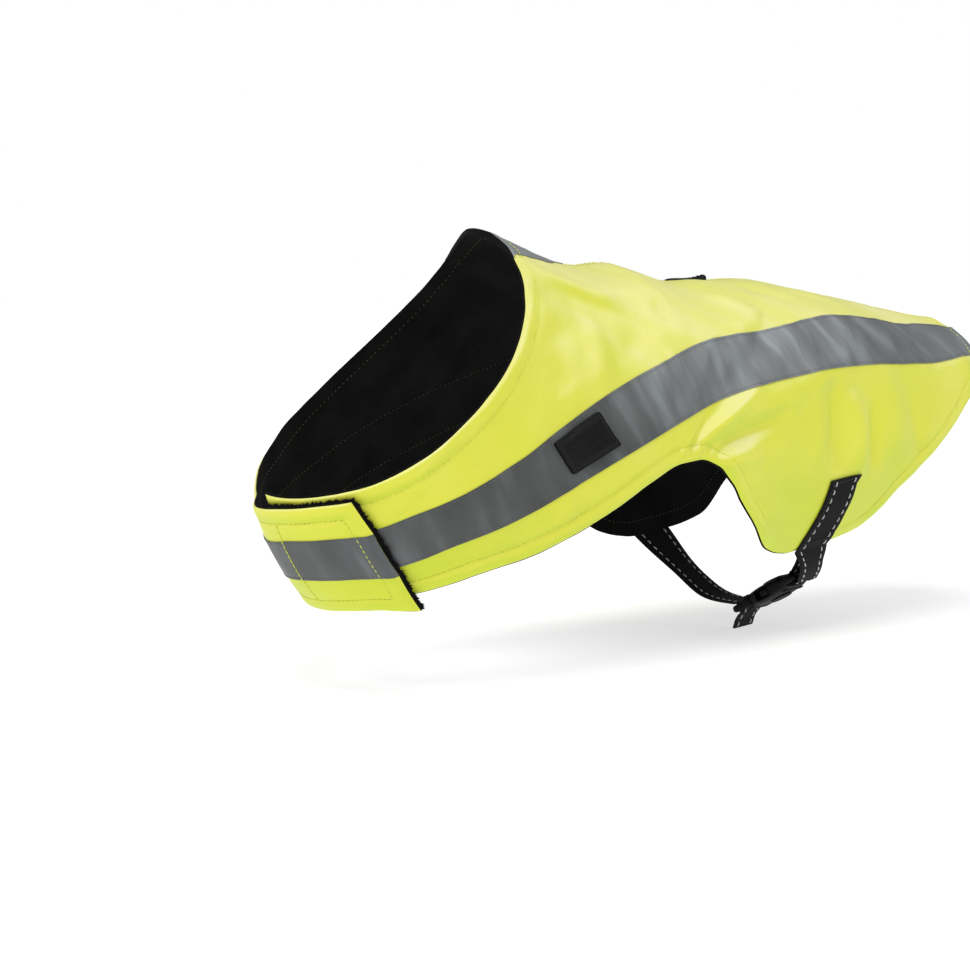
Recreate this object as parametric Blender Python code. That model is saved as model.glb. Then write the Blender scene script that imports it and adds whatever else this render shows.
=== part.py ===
"""Dog safety vest, worn form, with nobody in it.

Two halves of a fluorescent shell with a black lining meet in a seam along the spine, with
a reflective tape over its nape end. Their front ends cross on the chest as a hook-and-loop
closure, and a webbing belt with a side-release buckle passes under the belly. The vest's
head end points to -Y, its left side to +X, and the origin is the spine point of the neck edge.
"""
import math

import bmesh
import bpy
import numpy as np
from mathutils import Matrix, Vector

MM = 0.001
SEAM_GAP = 0.3

# Layers of cloth, as distances in mm out from the lining's inner face
LINING = (0.0, 1.0)
SHELL = (1.3, 2.5)
TAPE = (2.8, 3.8)
LABEL = (4.1, 6.1)
HOOK = (-1.3, -0.3)
FLAP_LIFT = 5.8
FLAP_RISE = (156.0, 172.0)

SLOT_HALF_WIDTH = 4.5
SLOT_TRIM_WIDTH = 3.0
SLOT_TRIM_HEIGHT = 2.4
SLOT_TRIM_GAP = 0.6
SLOT_TRIM_TURNS = 28
# Section of the slot's binding, as shares of its width and height
SLOT_TRIM_SECTION = [(0.0, 0.0), (1.0, 0.0), (1.0, 0.7), (0.7, 1.0), (0.3, 1.0), (0.0, 0.7)]
SLOT_TRIM_INSET = 0.2

WEBBING_WIDTH = 25.0
WEBBING = (2.8, 4.4)
WEBBING_LOOP_RADIUS = 3.2

# Rings of the hollow form, from the neck edge (s = 0) to the rear hem (s = 1), in mm.
# Columns: s, top_y, top_z, low_y, low_z, half_width, egg, drop, pinch
RINGS = np.array([
    (0.00, 0.0, 0.0, -139.0, -140.0, 78.0, 0.06, 18.0, 0.50),
    (0.20, 62.0, -15.0, -102.0, -197.0, 87.0, 0.04, 12.0, 0.42),
    (0.35, 108.0, -20.0, -38.0, -240.0, 88.0, 0.02, 6.0, 0.25),
    (0.50, 158.0, -22.0, 69.0, -250.0, 84.0, 0.00, 0.0, 0.08),
    (0.62, 202.0, -24.0, 189.0, -233.0, 81.0, 0.00, 0.0, 0.00),
    (0.80, 296.0, -31.0, 296.0, -219.0, 76.0, 0.00, 0.0, 0.00),
    (1.00, 420.0, -45.0, 420.0, -199.0, 67.0, 0.00, 0.0, 0.00),
])
PINCH_SWEEP = 0.93
PINCH_ROUNDING = 5.0

# Largest folds, as soft troughs (depth below 0) and ridges between two points.
# Columns: s_from, angle_from, s_to, angle_to, half_width, height
FOLDS = np.array([
    (0.02, 38.0, 0.40, 26.0, 11.0, 2.6),
    (0.46, 76.0, 0.66, 30.0, 9.0, -3.0),
    (0.42, 74.0, 0.50, 34.0, 8.0, 2.2),
    (0.52, 78.0, 0.78, 54.0, 8.0, 2.4),
    (0.72, 60.0, 0.74, 104.0, 10.0, -2.8),
    (0.79, 58.0, 0.80, 98.0, 9.0, 2.4),
    (0.88, 20.0, 0.90, 72.0, 11.0, -2.4),
])
# The right chest band, drawn in at its neck edge and full below it
RIGHT_FOLDS = np.array([
    (0.075, 168.0, 0.090, 108.0, 13.0, 3.0),
    (0.000, 166.0, 0.000, 112.0, 9.0, -2.2),
])
FLAT_PER_S = 420.0
FLAT_PER_DEGREE = 1.5
RIGHT_FOLD_SCALE = 0.8

# The cut of one half, station by station from its chest end to the rear hem. Each station
# crosses the panel at four edges, as (s, angle from the spine): the inner edge (the neck,
# then a line beside the spine seam), the two edges of the side tape, and the outer edge.
# Columns: inner_s, inner_angle, top_s, top_angle, low_s, low_angle, outer_s, outer_angle, steps
LEFT_FRONT = [
    (-0.005, 186.0, 0.085, 186.0, 0.150, 186.0, 0.200, 186.0, 1),
    (-0.004, 183.0, 0.085, 183.0, 0.150, 183.0, 0.201, 183.0, 3),
    (0.005, 157.0, 0.088, 157.0, 0.157, 158.0, 0.207, 158.0, 1),
    (0.008, 151.0, 0.090, 151.0, 0.161, 153.0, 0.212, 153.0, 1),
]
RIGHT_FRONT = [
    (0.023, 212.8, 0.091, 214.0, 0.172, 213.0, 0.235, 210.4, 2),
    (0.013, 199.0, 0.075, 199.0, 0.150, 199.0, 0.209, 198.0, 2),
    (0.010, 185.0, 0.070, 185.0, 0.143, 185.0, 0.202, 185.0, 1),
    (0.013, 174.0, 0.076, 174.0, 0.146, 174.0, 0.202, 174.0, 3),
    (0.015, 150.0, 0.088, 150.0, 0.162, 152.0, 0.214, 152.0, 1),
]
BODY = [
    (0.015, 136.0, 0.095, 137.2, 0.172, 140.0, 0.228, 141.2, 1),
    (0.016, 121.0, 0.108, 125.0, 0.184, 129.5, 0.243, 131.6, 2),
    (0.013, 104.0, 0.133, 109.0, 0.215, 115.0, 0.275, 119.5, 2),
    (0.011, 83.0, 0.167, 91.5, 0.268, 97.1, 0.342, 101.3, 3),
    (0.010, 62.0, 0.217, 77.1, 0.324, 85.7, 0.394, 91.3, 2),
    (0.006, 50.0, 0.293, 64.5, 0.385, 78.0, 0.440, 86.3, 2),
    (0.003, 43.0, 0.375, 56.2, 0.440, 72.8, 0.472, 85.7, 2),
    (0.000, 33.0, 0.440, 51.0, 0.490, 69.0, 0.498, 88.2, 2),
    (0.140, 18.0, 0.500, 48.5, 0.535, 66.9, 0.527, 94.5, 1),
    (0.205, 8.0, 0.522, 47.9, 0.555, 66.4, 0.541, 99.6, 1),
    (0.290, 13.0, 0.550, 47.2, 0.580, 65.7, 0.560, 106.3, 2),
    (0.430, 14.0, 0.600, 45.3, 0.628, 64.6, 0.600, 122.0, 1),
    (0.520, 14.0, 0.650, 43.0, 0.664, 63.6, 0.620, 125.8, 2),
    (0.560, 14.0, 0.682, 41.0, 0.700, 62.9, 0.640, 127.5, 2),
    (0.600, 14.0, 0.725, 38.6, 0.757, 61.5, 0.690, 127.3, 2),
    (0.680, 14.0, 0.780, 36.7, 0.815, 60.6, 0.745, 124.8, 3),
    (0.790, 14.0, 0.850, 34.2, 0.880, 59.5, 0.820, 109.5, 3),
    (0.900, 14.0, 0.920, 32.0, 0.935, 57.0, 0.900, 90.0, 3),
    (1.000, 14.0, 0.998, 29.5, 0.993, 52.0, 0.975, 66.0, 0),
]
LABEL_STATION = 3
NAPE_STATION = 7
NAPE_TAPE_END_STATION = 9
SLOT_STATIONS = (12, 14)
BELT_STATIONS = (13, 14)
LOOP_PATCH_COLUMNS = (1, 4)
HOOK_PATCH_COLUMNS = (0, 5)
LEFT_TAPE_FIRST_COLUMN = 5

# Fractions across each zone of the panel
INNER_STEPS = (0.0, 0.25, 0.5, 0.75)
TAPE_STEPS = (0.0, 0.13, 0.47, 0.80)
OUTER_STEPS = (0.0, 0.3, 0.6, 0.8, 1.0)
BELT_FIRST_OUTER_STEP = 2
SPINE_STEPS = (0.0, 0.5)

# Buckle, in its own frame: x across, y along the belt, z outward
BUCKLE_MOUTH = Vector((21.3, 231.2, -226.0))
BUCKLE_AXIS = Vector((0.85, 0.15, 0.505))
BUCKLE_OUTWARD = Vector((0.50, 0.10, -0.86))
SOCKET_LENGTH = 26.0
PLUG_BODY_LENGTH = 7.0
BUCKLE_WIDTH = 33.0
BUCKLE_HEIGHT = 9.0
BUCKLE_WALL = 1.8
BAR_HALF = 2.0
SLOT_LENGTH = 5.5
WEBBING_ROOM = 0.8
END_TAPER = 0.92
RING_CORNERS = 24
RING_POWER = 3.2
# Stations along the socket, each with its width as a share, and where its hollow ends
SOCKET_STATIONS = ((0.3, 1.0), (5.0, 1.04), (15.0, 1.0), (SOCKET_LENGTH, END_TAPER))
SOCKET_HOLLOW_END = 20.0
SOCKET_FRAME_LAP = 1.0
SOCKET_FRAME_STEP = 0.6
WINDOW_ROW = 1
WINDOW_STARTS = (-2, 10)
WINDOW_CELLS = 4
PRONG_CLEARANCE = 0.8
PRONG_INSET = 2.7
PRONG_WIDTH = 3.2
PRONG_REACH = (5.6, 14.0, 17.0)
GUIDE_HALF_WIDTH = 2.0
PLUG_BEVEL = 0.3

# The webbing's turn round a bar, then its run back, as distance and rise in mm
TURN_DEGREES = (90, 50, 10, -30, -70, -90)
LEFT_RUN_BACK = [(5.0, -3.0), (11.0, -8.0)]
RIGHT_RUN_BACK = [(8.0, 1.5), (16.0, 3.5)]
LEFT_BELT_STEPS = 4
LEFT_BELT_LIFT = 2.5
RIGHT_BELT_STEPS = 12
# Stops of the right belt under the belly, as ring place, angle and lift in mm
RIGHT_BELT = [(0.674, 141.0, 3.0), (0.678, 155.0, 3.0), (0.677, 168.0, 3.5)]

COLOURS = {
    "fluorescent": ((0.62, 0.78, 0.03, 1.0), 0.75),
    "black_cloth": ((0.012, 0.012, 0.013, 1.0), 0.85),
    "reflective_grey": ((0.13, 0.14, 0.15, 1.0), 0.45),
    "hook_and_loop": ((0.008, 0.008, 0.009, 1.0), 0.95),
    "webbing_black": ((0.010, 0.010, 0.011, 1.0), 0.8),
    "black_plastic": ((0.015, 0.015, 0.016, 1.0), 0.4),
    "black_rubber": ((0.012, 0.012, 0.012, 1.0), 0.55),
}


def clear_scene():
    for item in list(bpy.data.objects):
        bpy.data.objects.remove(item, do_unlink=True)


def material(name):
    if name in bpy.data.materials:
        return bpy.data.materials[name]
    colour, roughness = COLOURS[name]
    made = bpy.data.materials.new(name)
    made.use_nodes = True
    shader = made.node_tree.nodes["Principled BSDF"]
    shader.inputs["Base Color"].default_value = colour
    shader.inputs["Roughness"].default_value = roughness
    shader.inputs["Metallic"].default_value = 0.0
    return made


def interval(knots, at):
    return np.clip(np.searchsorted(knots, at, side="right") - 1, 0, len(knots) - 2)


def natural_spline(knots, rows, at):
    """Natural cubic spline through the rows, read at the given knots."""
    count = len(knots)
    step = np.diff(knots)
    system = np.eye(count)
    right = np.zeros_like(rows)
    for i in range(1, count - 1):
        system[i, i - 1:i + 2] = (step[i - 1], 2.0 * (step[i - 1] + step[i]), step[i])
        right[i] = 6.0 * ((rows[i + 1] - rows[i]) / step[i] - (rows[i] - rows[i - 1]) / step[i - 1])
    bend = np.linalg.solve(system, right)
    i = interval(knots, at)
    span = step[i][:, None]
    a = ((knots[i + 1] - at) / step[i])[:, None]
    b = 1.0 - a
    curved = ((a ** 3 - a) * bend[i] + (b ** 3 - b) * bend[i + 1]) * span ** 2 / 6.0
    return a * rows[i] + b * rows[i + 1] + curved


def monotone_spline(knots, rows, at):
    """Cubic through the rows that never overshoots them, for the edges of the cut."""
    slope = np.diff(rows, axis=0) / np.diff(knots)[:, None]
    before, after = slope[:-1], slope[1:]
    total = np.where(np.abs(before + after) > 1e-9, before + after, 1.0)
    inner = np.where(before * after > 0.0, 2.0 * before * after / total, 0.0)
    tangent = np.vstack([slope[:1], inner, slope[-1:]])
    i = interval(knots, at)
    span = np.diff(knots)[i][:, None]
    t = ((at - knots[i]) / np.diff(knots)[i])[:, None]
    start = (2 * t ** 3 - 3 * t ** 2 + 1) * rows[i] + (t ** 3 - 2 * t ** 2 + t) * span * tangent[i]
    end = (3 * t ** 2 - 2 * t ** 3) * rows[i + 1] + (t ** 3 - t ** 2) * span * tangent[i + 1]
    return start + end


def smoothstep(low, high, x):
    t = np.clip((x - low) / (high - low), 0.0, 1.0)
    return t * t * (3.0 - 2.0 * t)


def ring_point(s, angle):
    """A point of the smooth hollow form, on its left side for angles up to 180 degrees."""
    top_y, top_z, low_y, low_z, width, egg, drop, pinch = natural_spline(RINGS[:, 0], RINGS[:, 1:], s).T
    v = np.radians(angle)
    centre_y, centre_z = (top_y + low_y) / 2, (top_z + low_z) / 2
    half_y, half_z = (top_y - low_y) / 2, (top_z - low_z) / 2
    half = np.hypot(half_y, half_z)
    draw = width * np.abs(np.sin(v)) * pinch * ((1 + np.cos(v)) / 2) ** 2
    sag = drop * np.sin(v) ** 2
    x = width * np.sin(v) * (1 + egg * np.cos(v)) - np.sign(np.sin(v)) * draw
    y = centre_y + np.cos(v) * half_y + sag * half_z / half
    y = y + PINCH_SWEEP * (np.hypot(draw, PINCH_ROUNDING) - PINCH_ROUNDING)
    z = centre_z + np.cos(v) * half_z - sag * half_y / half
    return np.stack([x, y, z], axis=-1)


def ring_normal(s, angle):
    """The form's outward unit normal."""
    along = ring_point(s + 0.002, angle) - ring_point(s - 0.002, angle)
    around = ring_point(s, angle + 0.4) - ring_point(s, angle - 0.4)
    normal = np.cross(around, along)
    return normal / np.linalg.norm(normal, axis=-1, keepdims=True)


def fold_height(folds, s, angle):
    """Height of the listed folds over the smooth form."""
    place = np.stack([s * FLAT_PER_S, angle * FLAT_PER_DEGREE], axis=-1)
    height = np.zeros(len(s))
    for s_from, angle_from, s_to, angle_to, half_width, tall in folds:
        start = np.array([s_from * FLAT_PER_S, angle_from * FLAT_PER_DEGREE])
        run = np.array([s_to * FLAT_PER_S, angle_to * FLAT_PER_DEGREE]) - start
        along = (place - start) @ run / (run @ run)
        away = np.linalg.norm(place - start - np.clip(along, 0, 1)[:, None] * run, axis=-1)
        fade = np.sin(np.pi * np.clip(along, 0.0, 1.0)) ** 0.7
        height += tall * fade * np.exp(-(away / half_width) ** 2)
    return height


def form(s, angle, side):
    """Lining face and outward normal of one half, with its folds and the flap's lift."""
    s = np.asarray(s, float)
    angle = np.asarray(angle, float)
    height = fold_height(FOLDS, s, angle)
    if side < 0:
        height = RIGHT_FOLD_SCALE * height + fold_height(RIGHT_FOLDS, s, angle)
        height = height + FLAP_LIFT * smoothstep(*FLAP_RISE, angle)
    normal = ring_normal(s, angle)
    point = ring_point(s, angle) + normal * height[:, None]
    point[:, 0] += SEAM_GAP / 2
    mirror = np.array([side, 1.0, 1.0])
    return point * mirror, normal * mirror


class Half:
    """Grid of one half: columns run along it, rows across it from the spine outward."""

    def __init__(self, side):
        self.side = side
        front = LEFT_FRONT if side > 0 else RIGHT_FRONT
        table = np.array(front + BODY)
        self.front = len(front)
        self.steps = table[:, 8].astype(int)
        self.nape = self.station_column(NAPE_STATION)
        middle = (table[:, 2:4] + table[:, 4:6]) / 2 * (FLAT_PER_S, FLAT_PER_DEGREE)
        knots = np.concatenate([[0.0], np.cumsum(np.linalg.norm(np.diff(middle, axis=0), axis=1))])
        at = [knots[0]]
        for k, steps in enumerate(self.steps[:-1]):
            at += [knots[k] + (knots[k + 1] - knots[k]) * (n + 1) / steps for n in range(steps)]
        edges = monotone_spline(knots, table[:, :8], np.array(at)).reshape(-1, 4, 2)
        self.columns = len(at)
        self.build_rows(edges)

    def station_column(self, station):
        return int(self.steps[:self.front + station].sum())

    def build_rows(self, edges):
        inner, top, low, outer = (edges[:, k] for k in range(4))
        spine = inner * (1.0, 0.0)
        rows = [spine + (inner - spine) * f for f in SPINE_STEPS]
        rows += [inner + (top - inner) * f for f in INNER_STEPS]
        rows += [top + (low - top) * f for f in TAPE_STEPS]
        rows += [low + (outer - low) * f for f in OUTER_STEPS]
        self.neck_row = len(SPINE_STEPS)
        self.tape_row = self.neck_row + len(INNER_STEPS)
        self.low_row = self.tape_row + len(TAPE_STEPS)
        self.last_row = len(rows) - 1
        place = np.stack(rows, axis=1)
        self.point, self.normal = form(place[..., 0].ravel(), place[..., 1].ravel(), self.side)
        self.point = self.point.reshape(self.columns, len(rows), 3)
        self.normal = self.normal.reshape(self.columns, len(rows), 3)
        self.open_slot()

    def open_slot(self):
        """Draw the spine edge aside where the leash slot is left open in the seam."""
        first, last = (self.station_column(k) for k in SLOT_STATIONS)
        self.slot = range(first + 1, last)
        for column in self.slot:
            t = 2.0 * (column - first) / (last - first) - 1.0
            self.point[column, 0, 0] += self.side * SLOT_HALF_WIDTH * math.sqrt(1.0 - t * t)

    def cells(self, columns, rows):
        return [(i, j) for i in range(*columns) for j in range(*rows)]

    def panel_cells(self):
        main = self.cells((0, self.columns - 1), (self.neck_row, self.last_row))
        return main + self.cells((self.nape, self.columns - 1), (0, self.neck_row))

    def quads(self, cells):
        return [[(i, j), (i + 1, j), (i + 1, j + 1), (i, j + 1)] for i, j in cells]

    def sheet(self):
        return {(i, j): (self.point[i, j], self.normal[i, j])
                for i in range(self.columns) for j in range(self.last_row + 1)}


def link(name, mesh, finish):
    thing = bpy.data.objects.new(name, mesh)
    mesh.materials.append(material(finish))
    bpy.context.scene.collection.objects.link(thing)
    return thing


def wall(name, sheet, quads, layer, finish):
    """Close the quads of a sheet into a wall between two distances along its normals."""
    keys = sorted({key for quad in quads for key in quad}, key=str)
    index = {key: n for n, key in enumerate(keys)}
    low, high = layer
    inner = [sheet[key][0] + sheet[key][1] * low for key in keys]
    outer = [sheet[key][0] + sheet[key][1] * high for key in keys]
    count = len(keys)
    faces = []
    edges = {}
    for quad in quads:
        a, b, c, d = (index[key] for key in quad)
        for corner in ((a, b, c), (a, c, d)):
            faces.append([k + count for k in corner])
            faces.append(list(reversed(corner)))
        for pair in ((a, b), (b, c), (c, d), (d, a)):
            edges.setdefault(frozenset(pair), []).append(pair)
    for pairs in edges.values():
        if len(pairs) == 1:
            a, b = pairs[0]
            faces.append([a, b, b + count])
            faces.append([a, b + count, a + count])
    mesh = bpy.data.meshes.new(name)
    mesh.from_pydata([tuple(p * MM) for p in inner + outer], [], faces)
    close_mesh(mesh)
    return link(name, mesh, finish)


def close_mesh(mesh):
    work = bmesh.new()
    work.from_mesh(mesh)
    bmesh.ops.recalc_face_normals(work, faces=work.faces)
    if work.calc_volume(signed=True) < 0.0:
        bmesh.ops.reverse_faces(work, faces=work.faces)
    work.to_mesh(mesh)
    work.free()
    mesh.shade_smooth()
    mesh.set_sharp_from_angle(angle=math.radians(40))


def build_half(half, word):
    panel = half.quads(half.panel_cells())
    sheet = half.sheet()
    wall("lining_" + word, sheet, panel, LINING, "black_cloth")
    wall("shell_" + word, sheet, panel, SHELL, "fluorescent")
    tape_rows = (half.tape_row, half.low_row)
    if half.side > 0:
        first = LEFT_TAPE_FIRST_COLUMN
        patch = half.cells(LOOP_PATCH_COLUMNS, (half.neck_row + 1, half.last_row - 1))
        wall("loop_patch", sheet, half.quads(patch), TAPE, "hook_and_loop")
    else:
        first = 0
        patch = half.cells(HOOK_PATCH_COLUMNS, (half.neck_row, half.last_row))
        wall("hook_patch", sheet, half.quads(patch), HOOK, "hook_and_loop")
    tape = half.cells((first, half.columns - 1), tape_rows)
    wall("side_tape_" + word, sheet, half.quads(tape), TAPE, "reflective_grey")


def build_label(half):
    first, last = (half.station_column(LABEL_STATION + k) for k in (0, 1))
    cells = half.cells((first, last), (half.tape_row + 1, half.low_row - 1))
    wall("rubber_label", half.sheet(), half.quads(cells), LABEL, "black_rubber")


def build_nape_tape(left, right):
    """Tape over the front of the centre seam, narrower towards its rear end."""
    sheet = {}
    quads = []
    for half in (left, right):
        last = half.station_column(NAPE_TAPE_END_STATION)
        for i in range(half.nape, last + 1):
            for j in range(half.neck_row + 1):
                point, normal = half.point[i, j].copy(), half.normal[i, j].copy()
                if j == 0:
                    point[0] = 0.0
                    normal[0] = 0.0
                sheet[(i - half.nape, j * half.side)] = (point, normal)
        for i, j in half.cells((0, last - half.nape), (0, half.neck_row)):
            quads.append([(i, j * half.side), (i + 1, j * half.side),
                          (i + 1, (j + 1) * half.side), (i, (j + 1) * half.side)])
    wall("nape_tape", sheet, quads, TAPE, "reflective_grey")


def build_slot_trim(left):
    """Raised black binding round the leash slot."""
    first, last = left.slot.start - 1, left.slot.stop
    front, back = left.point[first, 0], left.point[last, 0]
    centre = (front + back) / 2
    normal = left.normal[(first + last) // 2, 0] * (0.0, 1.0, 1.0)
    normal = normal / np.linalg.norm(normal)
    along = (back - front) * (0.0, 1.0, 1.0)
    half_length = np.linalg.norm(along) / 2
    along = along / np.linalg.norm(along)
    base = SHELL[1] + SLOT_TRIM_GAP
    verts = []
    for k in range(SLOT_TRIM_TURNS):
        turn = 2 * math.pi * k / SLOT_TRIM_TURNS
        for out, up in SLOT_TRIM_SECTION:
            grow = SLOT_TRIM_INSET + out * SLOT_TRIM_WIDTH
            x = math.cos(turn) * (SLOT_HALF_WIDTH + grow)
            run = math.sin(turn) * (half_length + grow)
            place = centre + along * run + normal * (base + up * SLOT_TRIM_HEIGHT)
            verts.append(tuple(np.array([x, place[1], place[2]]) * MM))
    size = len(SLOT_TRIM_SECTION)
    faces = []
    for k in range(SLOT_TRIM_TURNS):
        after = (k + 1) % SLOT_TRIM_TURNS
        for n in range(size):
            m = (n + 1) % size
            faces.append([k * size + n, k * size + m, after * size + m, after * size + n])
    mesh = bpy.data.meshes.new("slot_trim")
    mesh.from_pydata(verts, [], faces)
    close_mesh(mesh)
    link("slot_trim", mesh, "black_cloth")


def buckle_frame():
    """Rotation and place of the buckle: y along the belt to the left side, z outward."""
    axis = BUCKLE_AXIS.normalized()
    outward = (BUCKLE_OUTWARD - axis * BUCKLE_OUTWARD.dot(axis)).normalized()
    across = axis.cross(outward).normalized()
    turn = Matrix((across, axis, outward)).transposed()
    return Matrix.Translation(BUCKLE_MOUTH * MM) @ turn.to_4x4()


def plate(name, xs, ys, holes, thickness, finish, frame, bevel):
    """A flat plate on a grid of lines, open where a cell is listed as a hole."""
    sheet = {}
    for i, x in enumerate(xs):
        for j, y in enumerate(ys):
            sheet[(i, j)] = (np.array([x, y, 0.0]), np.array([0.0, 0.0, 1.0]))
    quads = [[(i, j), (i + 1, j), (i + 1, j + 1), (i, j + 1)]
             for i in range(len(xs) - 1) for j in range(len(ys) - 1) if (i, j) not in holes]
    thing = wall(name, sheet, quads, (-thickness / 2, thickness / 2), finish)
    thing.matrix_world = frame
    if bevel:
        rounding = thing.modifiers.new("rounding", "BEVEL")
        rounding.width = bevel * MM
        rounding.segments = 1
        rounding.limit_method = "ANGLE"
    return thing


def rounded_ring(half_x, half_z, y):
    ring = []
    for k in range(RING_CORNERS):
        turn = 2 * math.pi * k / RING_CORNERS
        c, s = math.cos(turn), math.sin(turn)
        x = half_x * math.copysign(abs(c) ** (2 / RING_POWER), c)
        z = half_z * math.copysign(abs(s) ** (2 / RING_POWER), s)
        ring.append((x * MM, y * MM, z * MM))
    return ring


def build_socket(frame):
    """Hollow socket, with side windows for the prongs and a frame with the webbing bar."""
    count = RING_CORNERS
    inner_height = BUCKLE_HEIGHT / 2 - BUCKLE_WALL
    verts = []
    for y, wide in SOCKET_STATIONS:
        verts += rounded_ring(BUCKLE_WIDTH / 2 * wide, BUCKLE_HEIGHT / 2, y)
    for y, wide in SOCKET_STATIONS[:-1]:
        verts += rounded_ring(BUCKLE_WIDTH / 2 * wide - BUCKLE_WALL, inner_height, y)
    verts += rounded_ring(BUCKLE_WIDTH / 2 - BUCKLE_WALL, inner_height, SOCKET_HOLLOW_END)
    windows = {(WINDOW_ROW, (first + k) % count) for first in WINDOW_STARTS for k in range(WINDOW_CELLS)}
    faces = []
    rows = len(SOCKET_STATIONS)
    inside = rows * count
    for row in range(rows - 1):
        for k in range(count):
            m = (k + 1) % count
            if (row, k) in windows:
                continue
            faces.append([row * count + k, row * count + m, (row + 1) * count + m, (row + 1) * count + k])
            low, high = inside + row * count, inside + (row + 1) * count
            faces.append([low + m, low + k, high + k, high + m])
    faces += rim_faces(rows - 1, inside)
    mesh = bpy.data.meshes.new("buckle_socket")
    mesh.from_pydata(verts, [], faces)
    close_mesh(mesh)
    socket = link("buckle_socket", mesh, "black_plastic")
    socket.matrix_world = frame
    half = BUCKLE_WIDTH / 2 * END_TAPER
    side = WEBBING_WIDTH / 2 + WEBBING_ROOM
    shoulder = SOCKET_LENGTH + SOCKET_FRAME_STEP
    bar_start = shoulder + SLOT_LENGTH
    ys = (SOCKET_LENGTH - SOCKET_FRAME_LAP, shoulder, bar_start, bar_start + 2 * BAR_HALF)
    xs = (-half, -side, side, half)
    bar = plate("socket_frame", xs, ys, {(1, 1)}, 2 * BAR_HALF, "black_plastic", frame, 0.0)
    bar.hide_render = True
    bar.display_type = "WIRE"
    joined = socket.modifiers.new("frame", "BOOLEAN")
    joined.operation = "UNION"
    joined.solver = "EXACT"
    joined.object = bar
    return bar_start + BAR_HALF


def rim_faces(last_row, inside):
    """Mouth rim, the far wall and the edges of the two windows."""
    count = RING_CORNERS
    faces = []
    for k in range(count):
        m = (k + 1) % count
        faces.append([m, k, inside + k, inside + m])
    last = last_row * count
    faces.append([last + k for k in range(count)])
    faces.append([inside + last + k for k in reversed(range(count))])
    for first in WINDOW_STARTS:
        loop = [(first + k) % count for k in range(WINDOW_CELLS + 1)]
        ring = [WINDOW_ROW * count + k for k in loop]
        ring += [(WINDOW_ROW + 1) * count + k for k in reversed(loop)]
        for a, b in zip(ring, ring[1:] + ring[:1]):
            faces.append([a, b, inside + b, inside + a])
    return faces


def build_plug(frame):
    """Plug with a guide and two prongs inside the socket, and a bar for the webbing."""
    room = BUCKLE_HEIGHT / 2 - BUCKLE_WALL - PRONG_CLEARANCE
    body = -PLUG_BODY_LENGTH
    bar = body - SLOT_LENGTH
    half = BUCKLE_WIDTH / 2 * END_TAPER
    side = WEBBING_WIDTH / 2 + WEBBING_ROOM
    reach = BUCKLE_WIDTH / 2 - BUCKLE_WALL - PRONG_INSET
    right_of_middle = (GUIDE_HALF_WIDTH, reach - PRONG_WIDTH, reach, side, half)
    xs = tuple(-x for x in reversed(right_of_middle)) + right_of_middle
    ys = (bar - 2 * BAR_HALF, bar, body, 0.0, *PRONG_REACH)
    webbing_slot = {(i, 1) for i in range(1, 8)}
    beside_prongs = {(i, j) for j in (3, 4, 5) for i in (0, 1, 3, 5, 7, 8)}
    before_guide = {(4, 5)}
    holes = webbing_slot | beside_prongs | before_guide
    plate("buckle_plug", xs, ys, holes, 2 * room, "black_plastic", frame, PLUG_BEVEL)
    return bar - BAR_HALF


def ribbon(name, centres, across, normals, sheet, quads):
    """A webbing strip, from a started sheet and further rows."""
    sheet = dict(sheet)
    quads = list(quads)
    start = 1 + max(key[0] for key in sheet)
    for n, (centre, side, normal) in enumerate(zip(centres, across, normals)):
        for j, f in enumerate((-0.5, 0.0, 0.5)):
            sheet[(start + n, j)] = (centre + side * WEBBING_WIDTH * f, normal)
    last = start + len(centres) - 1
    quads += [[(i, j), (i + 1, j), (i + 1, j + 1), (i, j + 1)]
              for i in range(start - 1, last) for j in (0, 1)]
    thick = WEBBING[1] - WEBBING[0]
    wall(name, sheet, quads, (-thick / 2, thick / 2), "webbing_black")


def belt_start(half):
    """The sewn end of the belt on the shell, from the panel's own points, moved out."""
    first, last = (half.station_column(k) for k in BELT_STATIONS)
    rows = range(half.low_row + BELT_FIRST_OUTER_STEP, half.last_row + 1)
    lift = (WEBBING[0] + WEBBING[1]) / 2
    sheet = {}
    for i, row in enumerate(rows):
        for j, column in enumerate((first, (first + last) // 2, last)):
            normal = half.normal[column, row]
            sheet[(i, j)] = (half.point[column, row] + normal * lift, normal)
    quads = [[(i, j), (i + 1, j), (i + 1, j + 1), (i, j + 1)]
             for i in range(len(rows) - 1) for j in (0, 1)]
    return sheet, quads


def blend_rows(stops, count):
    """Rows between hand-placed stops of centre, direction across and normal."""
    knots = np.arange(len(stops), dtype=float)
    rows = np.array([np.concatenate(stop) for stop in stops])
    at = np.linspace(0.0, knots[-1], count + 1)[1:]
    mixed = natural_spline(knots, rows, at)
    centre, across, normal = mixed[:, 0:3], mixed[:, 3:6], mixed[:, 6:9]
    across = across / np.linalg.norm(across, axis=1, keepdims=True)
    normal = normal - across * np.sum(across * normal, axis=1, keepdims=True)
    normal = normal / np.linalg.norm(normal, axis=1, keepdims=True)
    return list(centre), list(across), list(normal)


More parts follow.
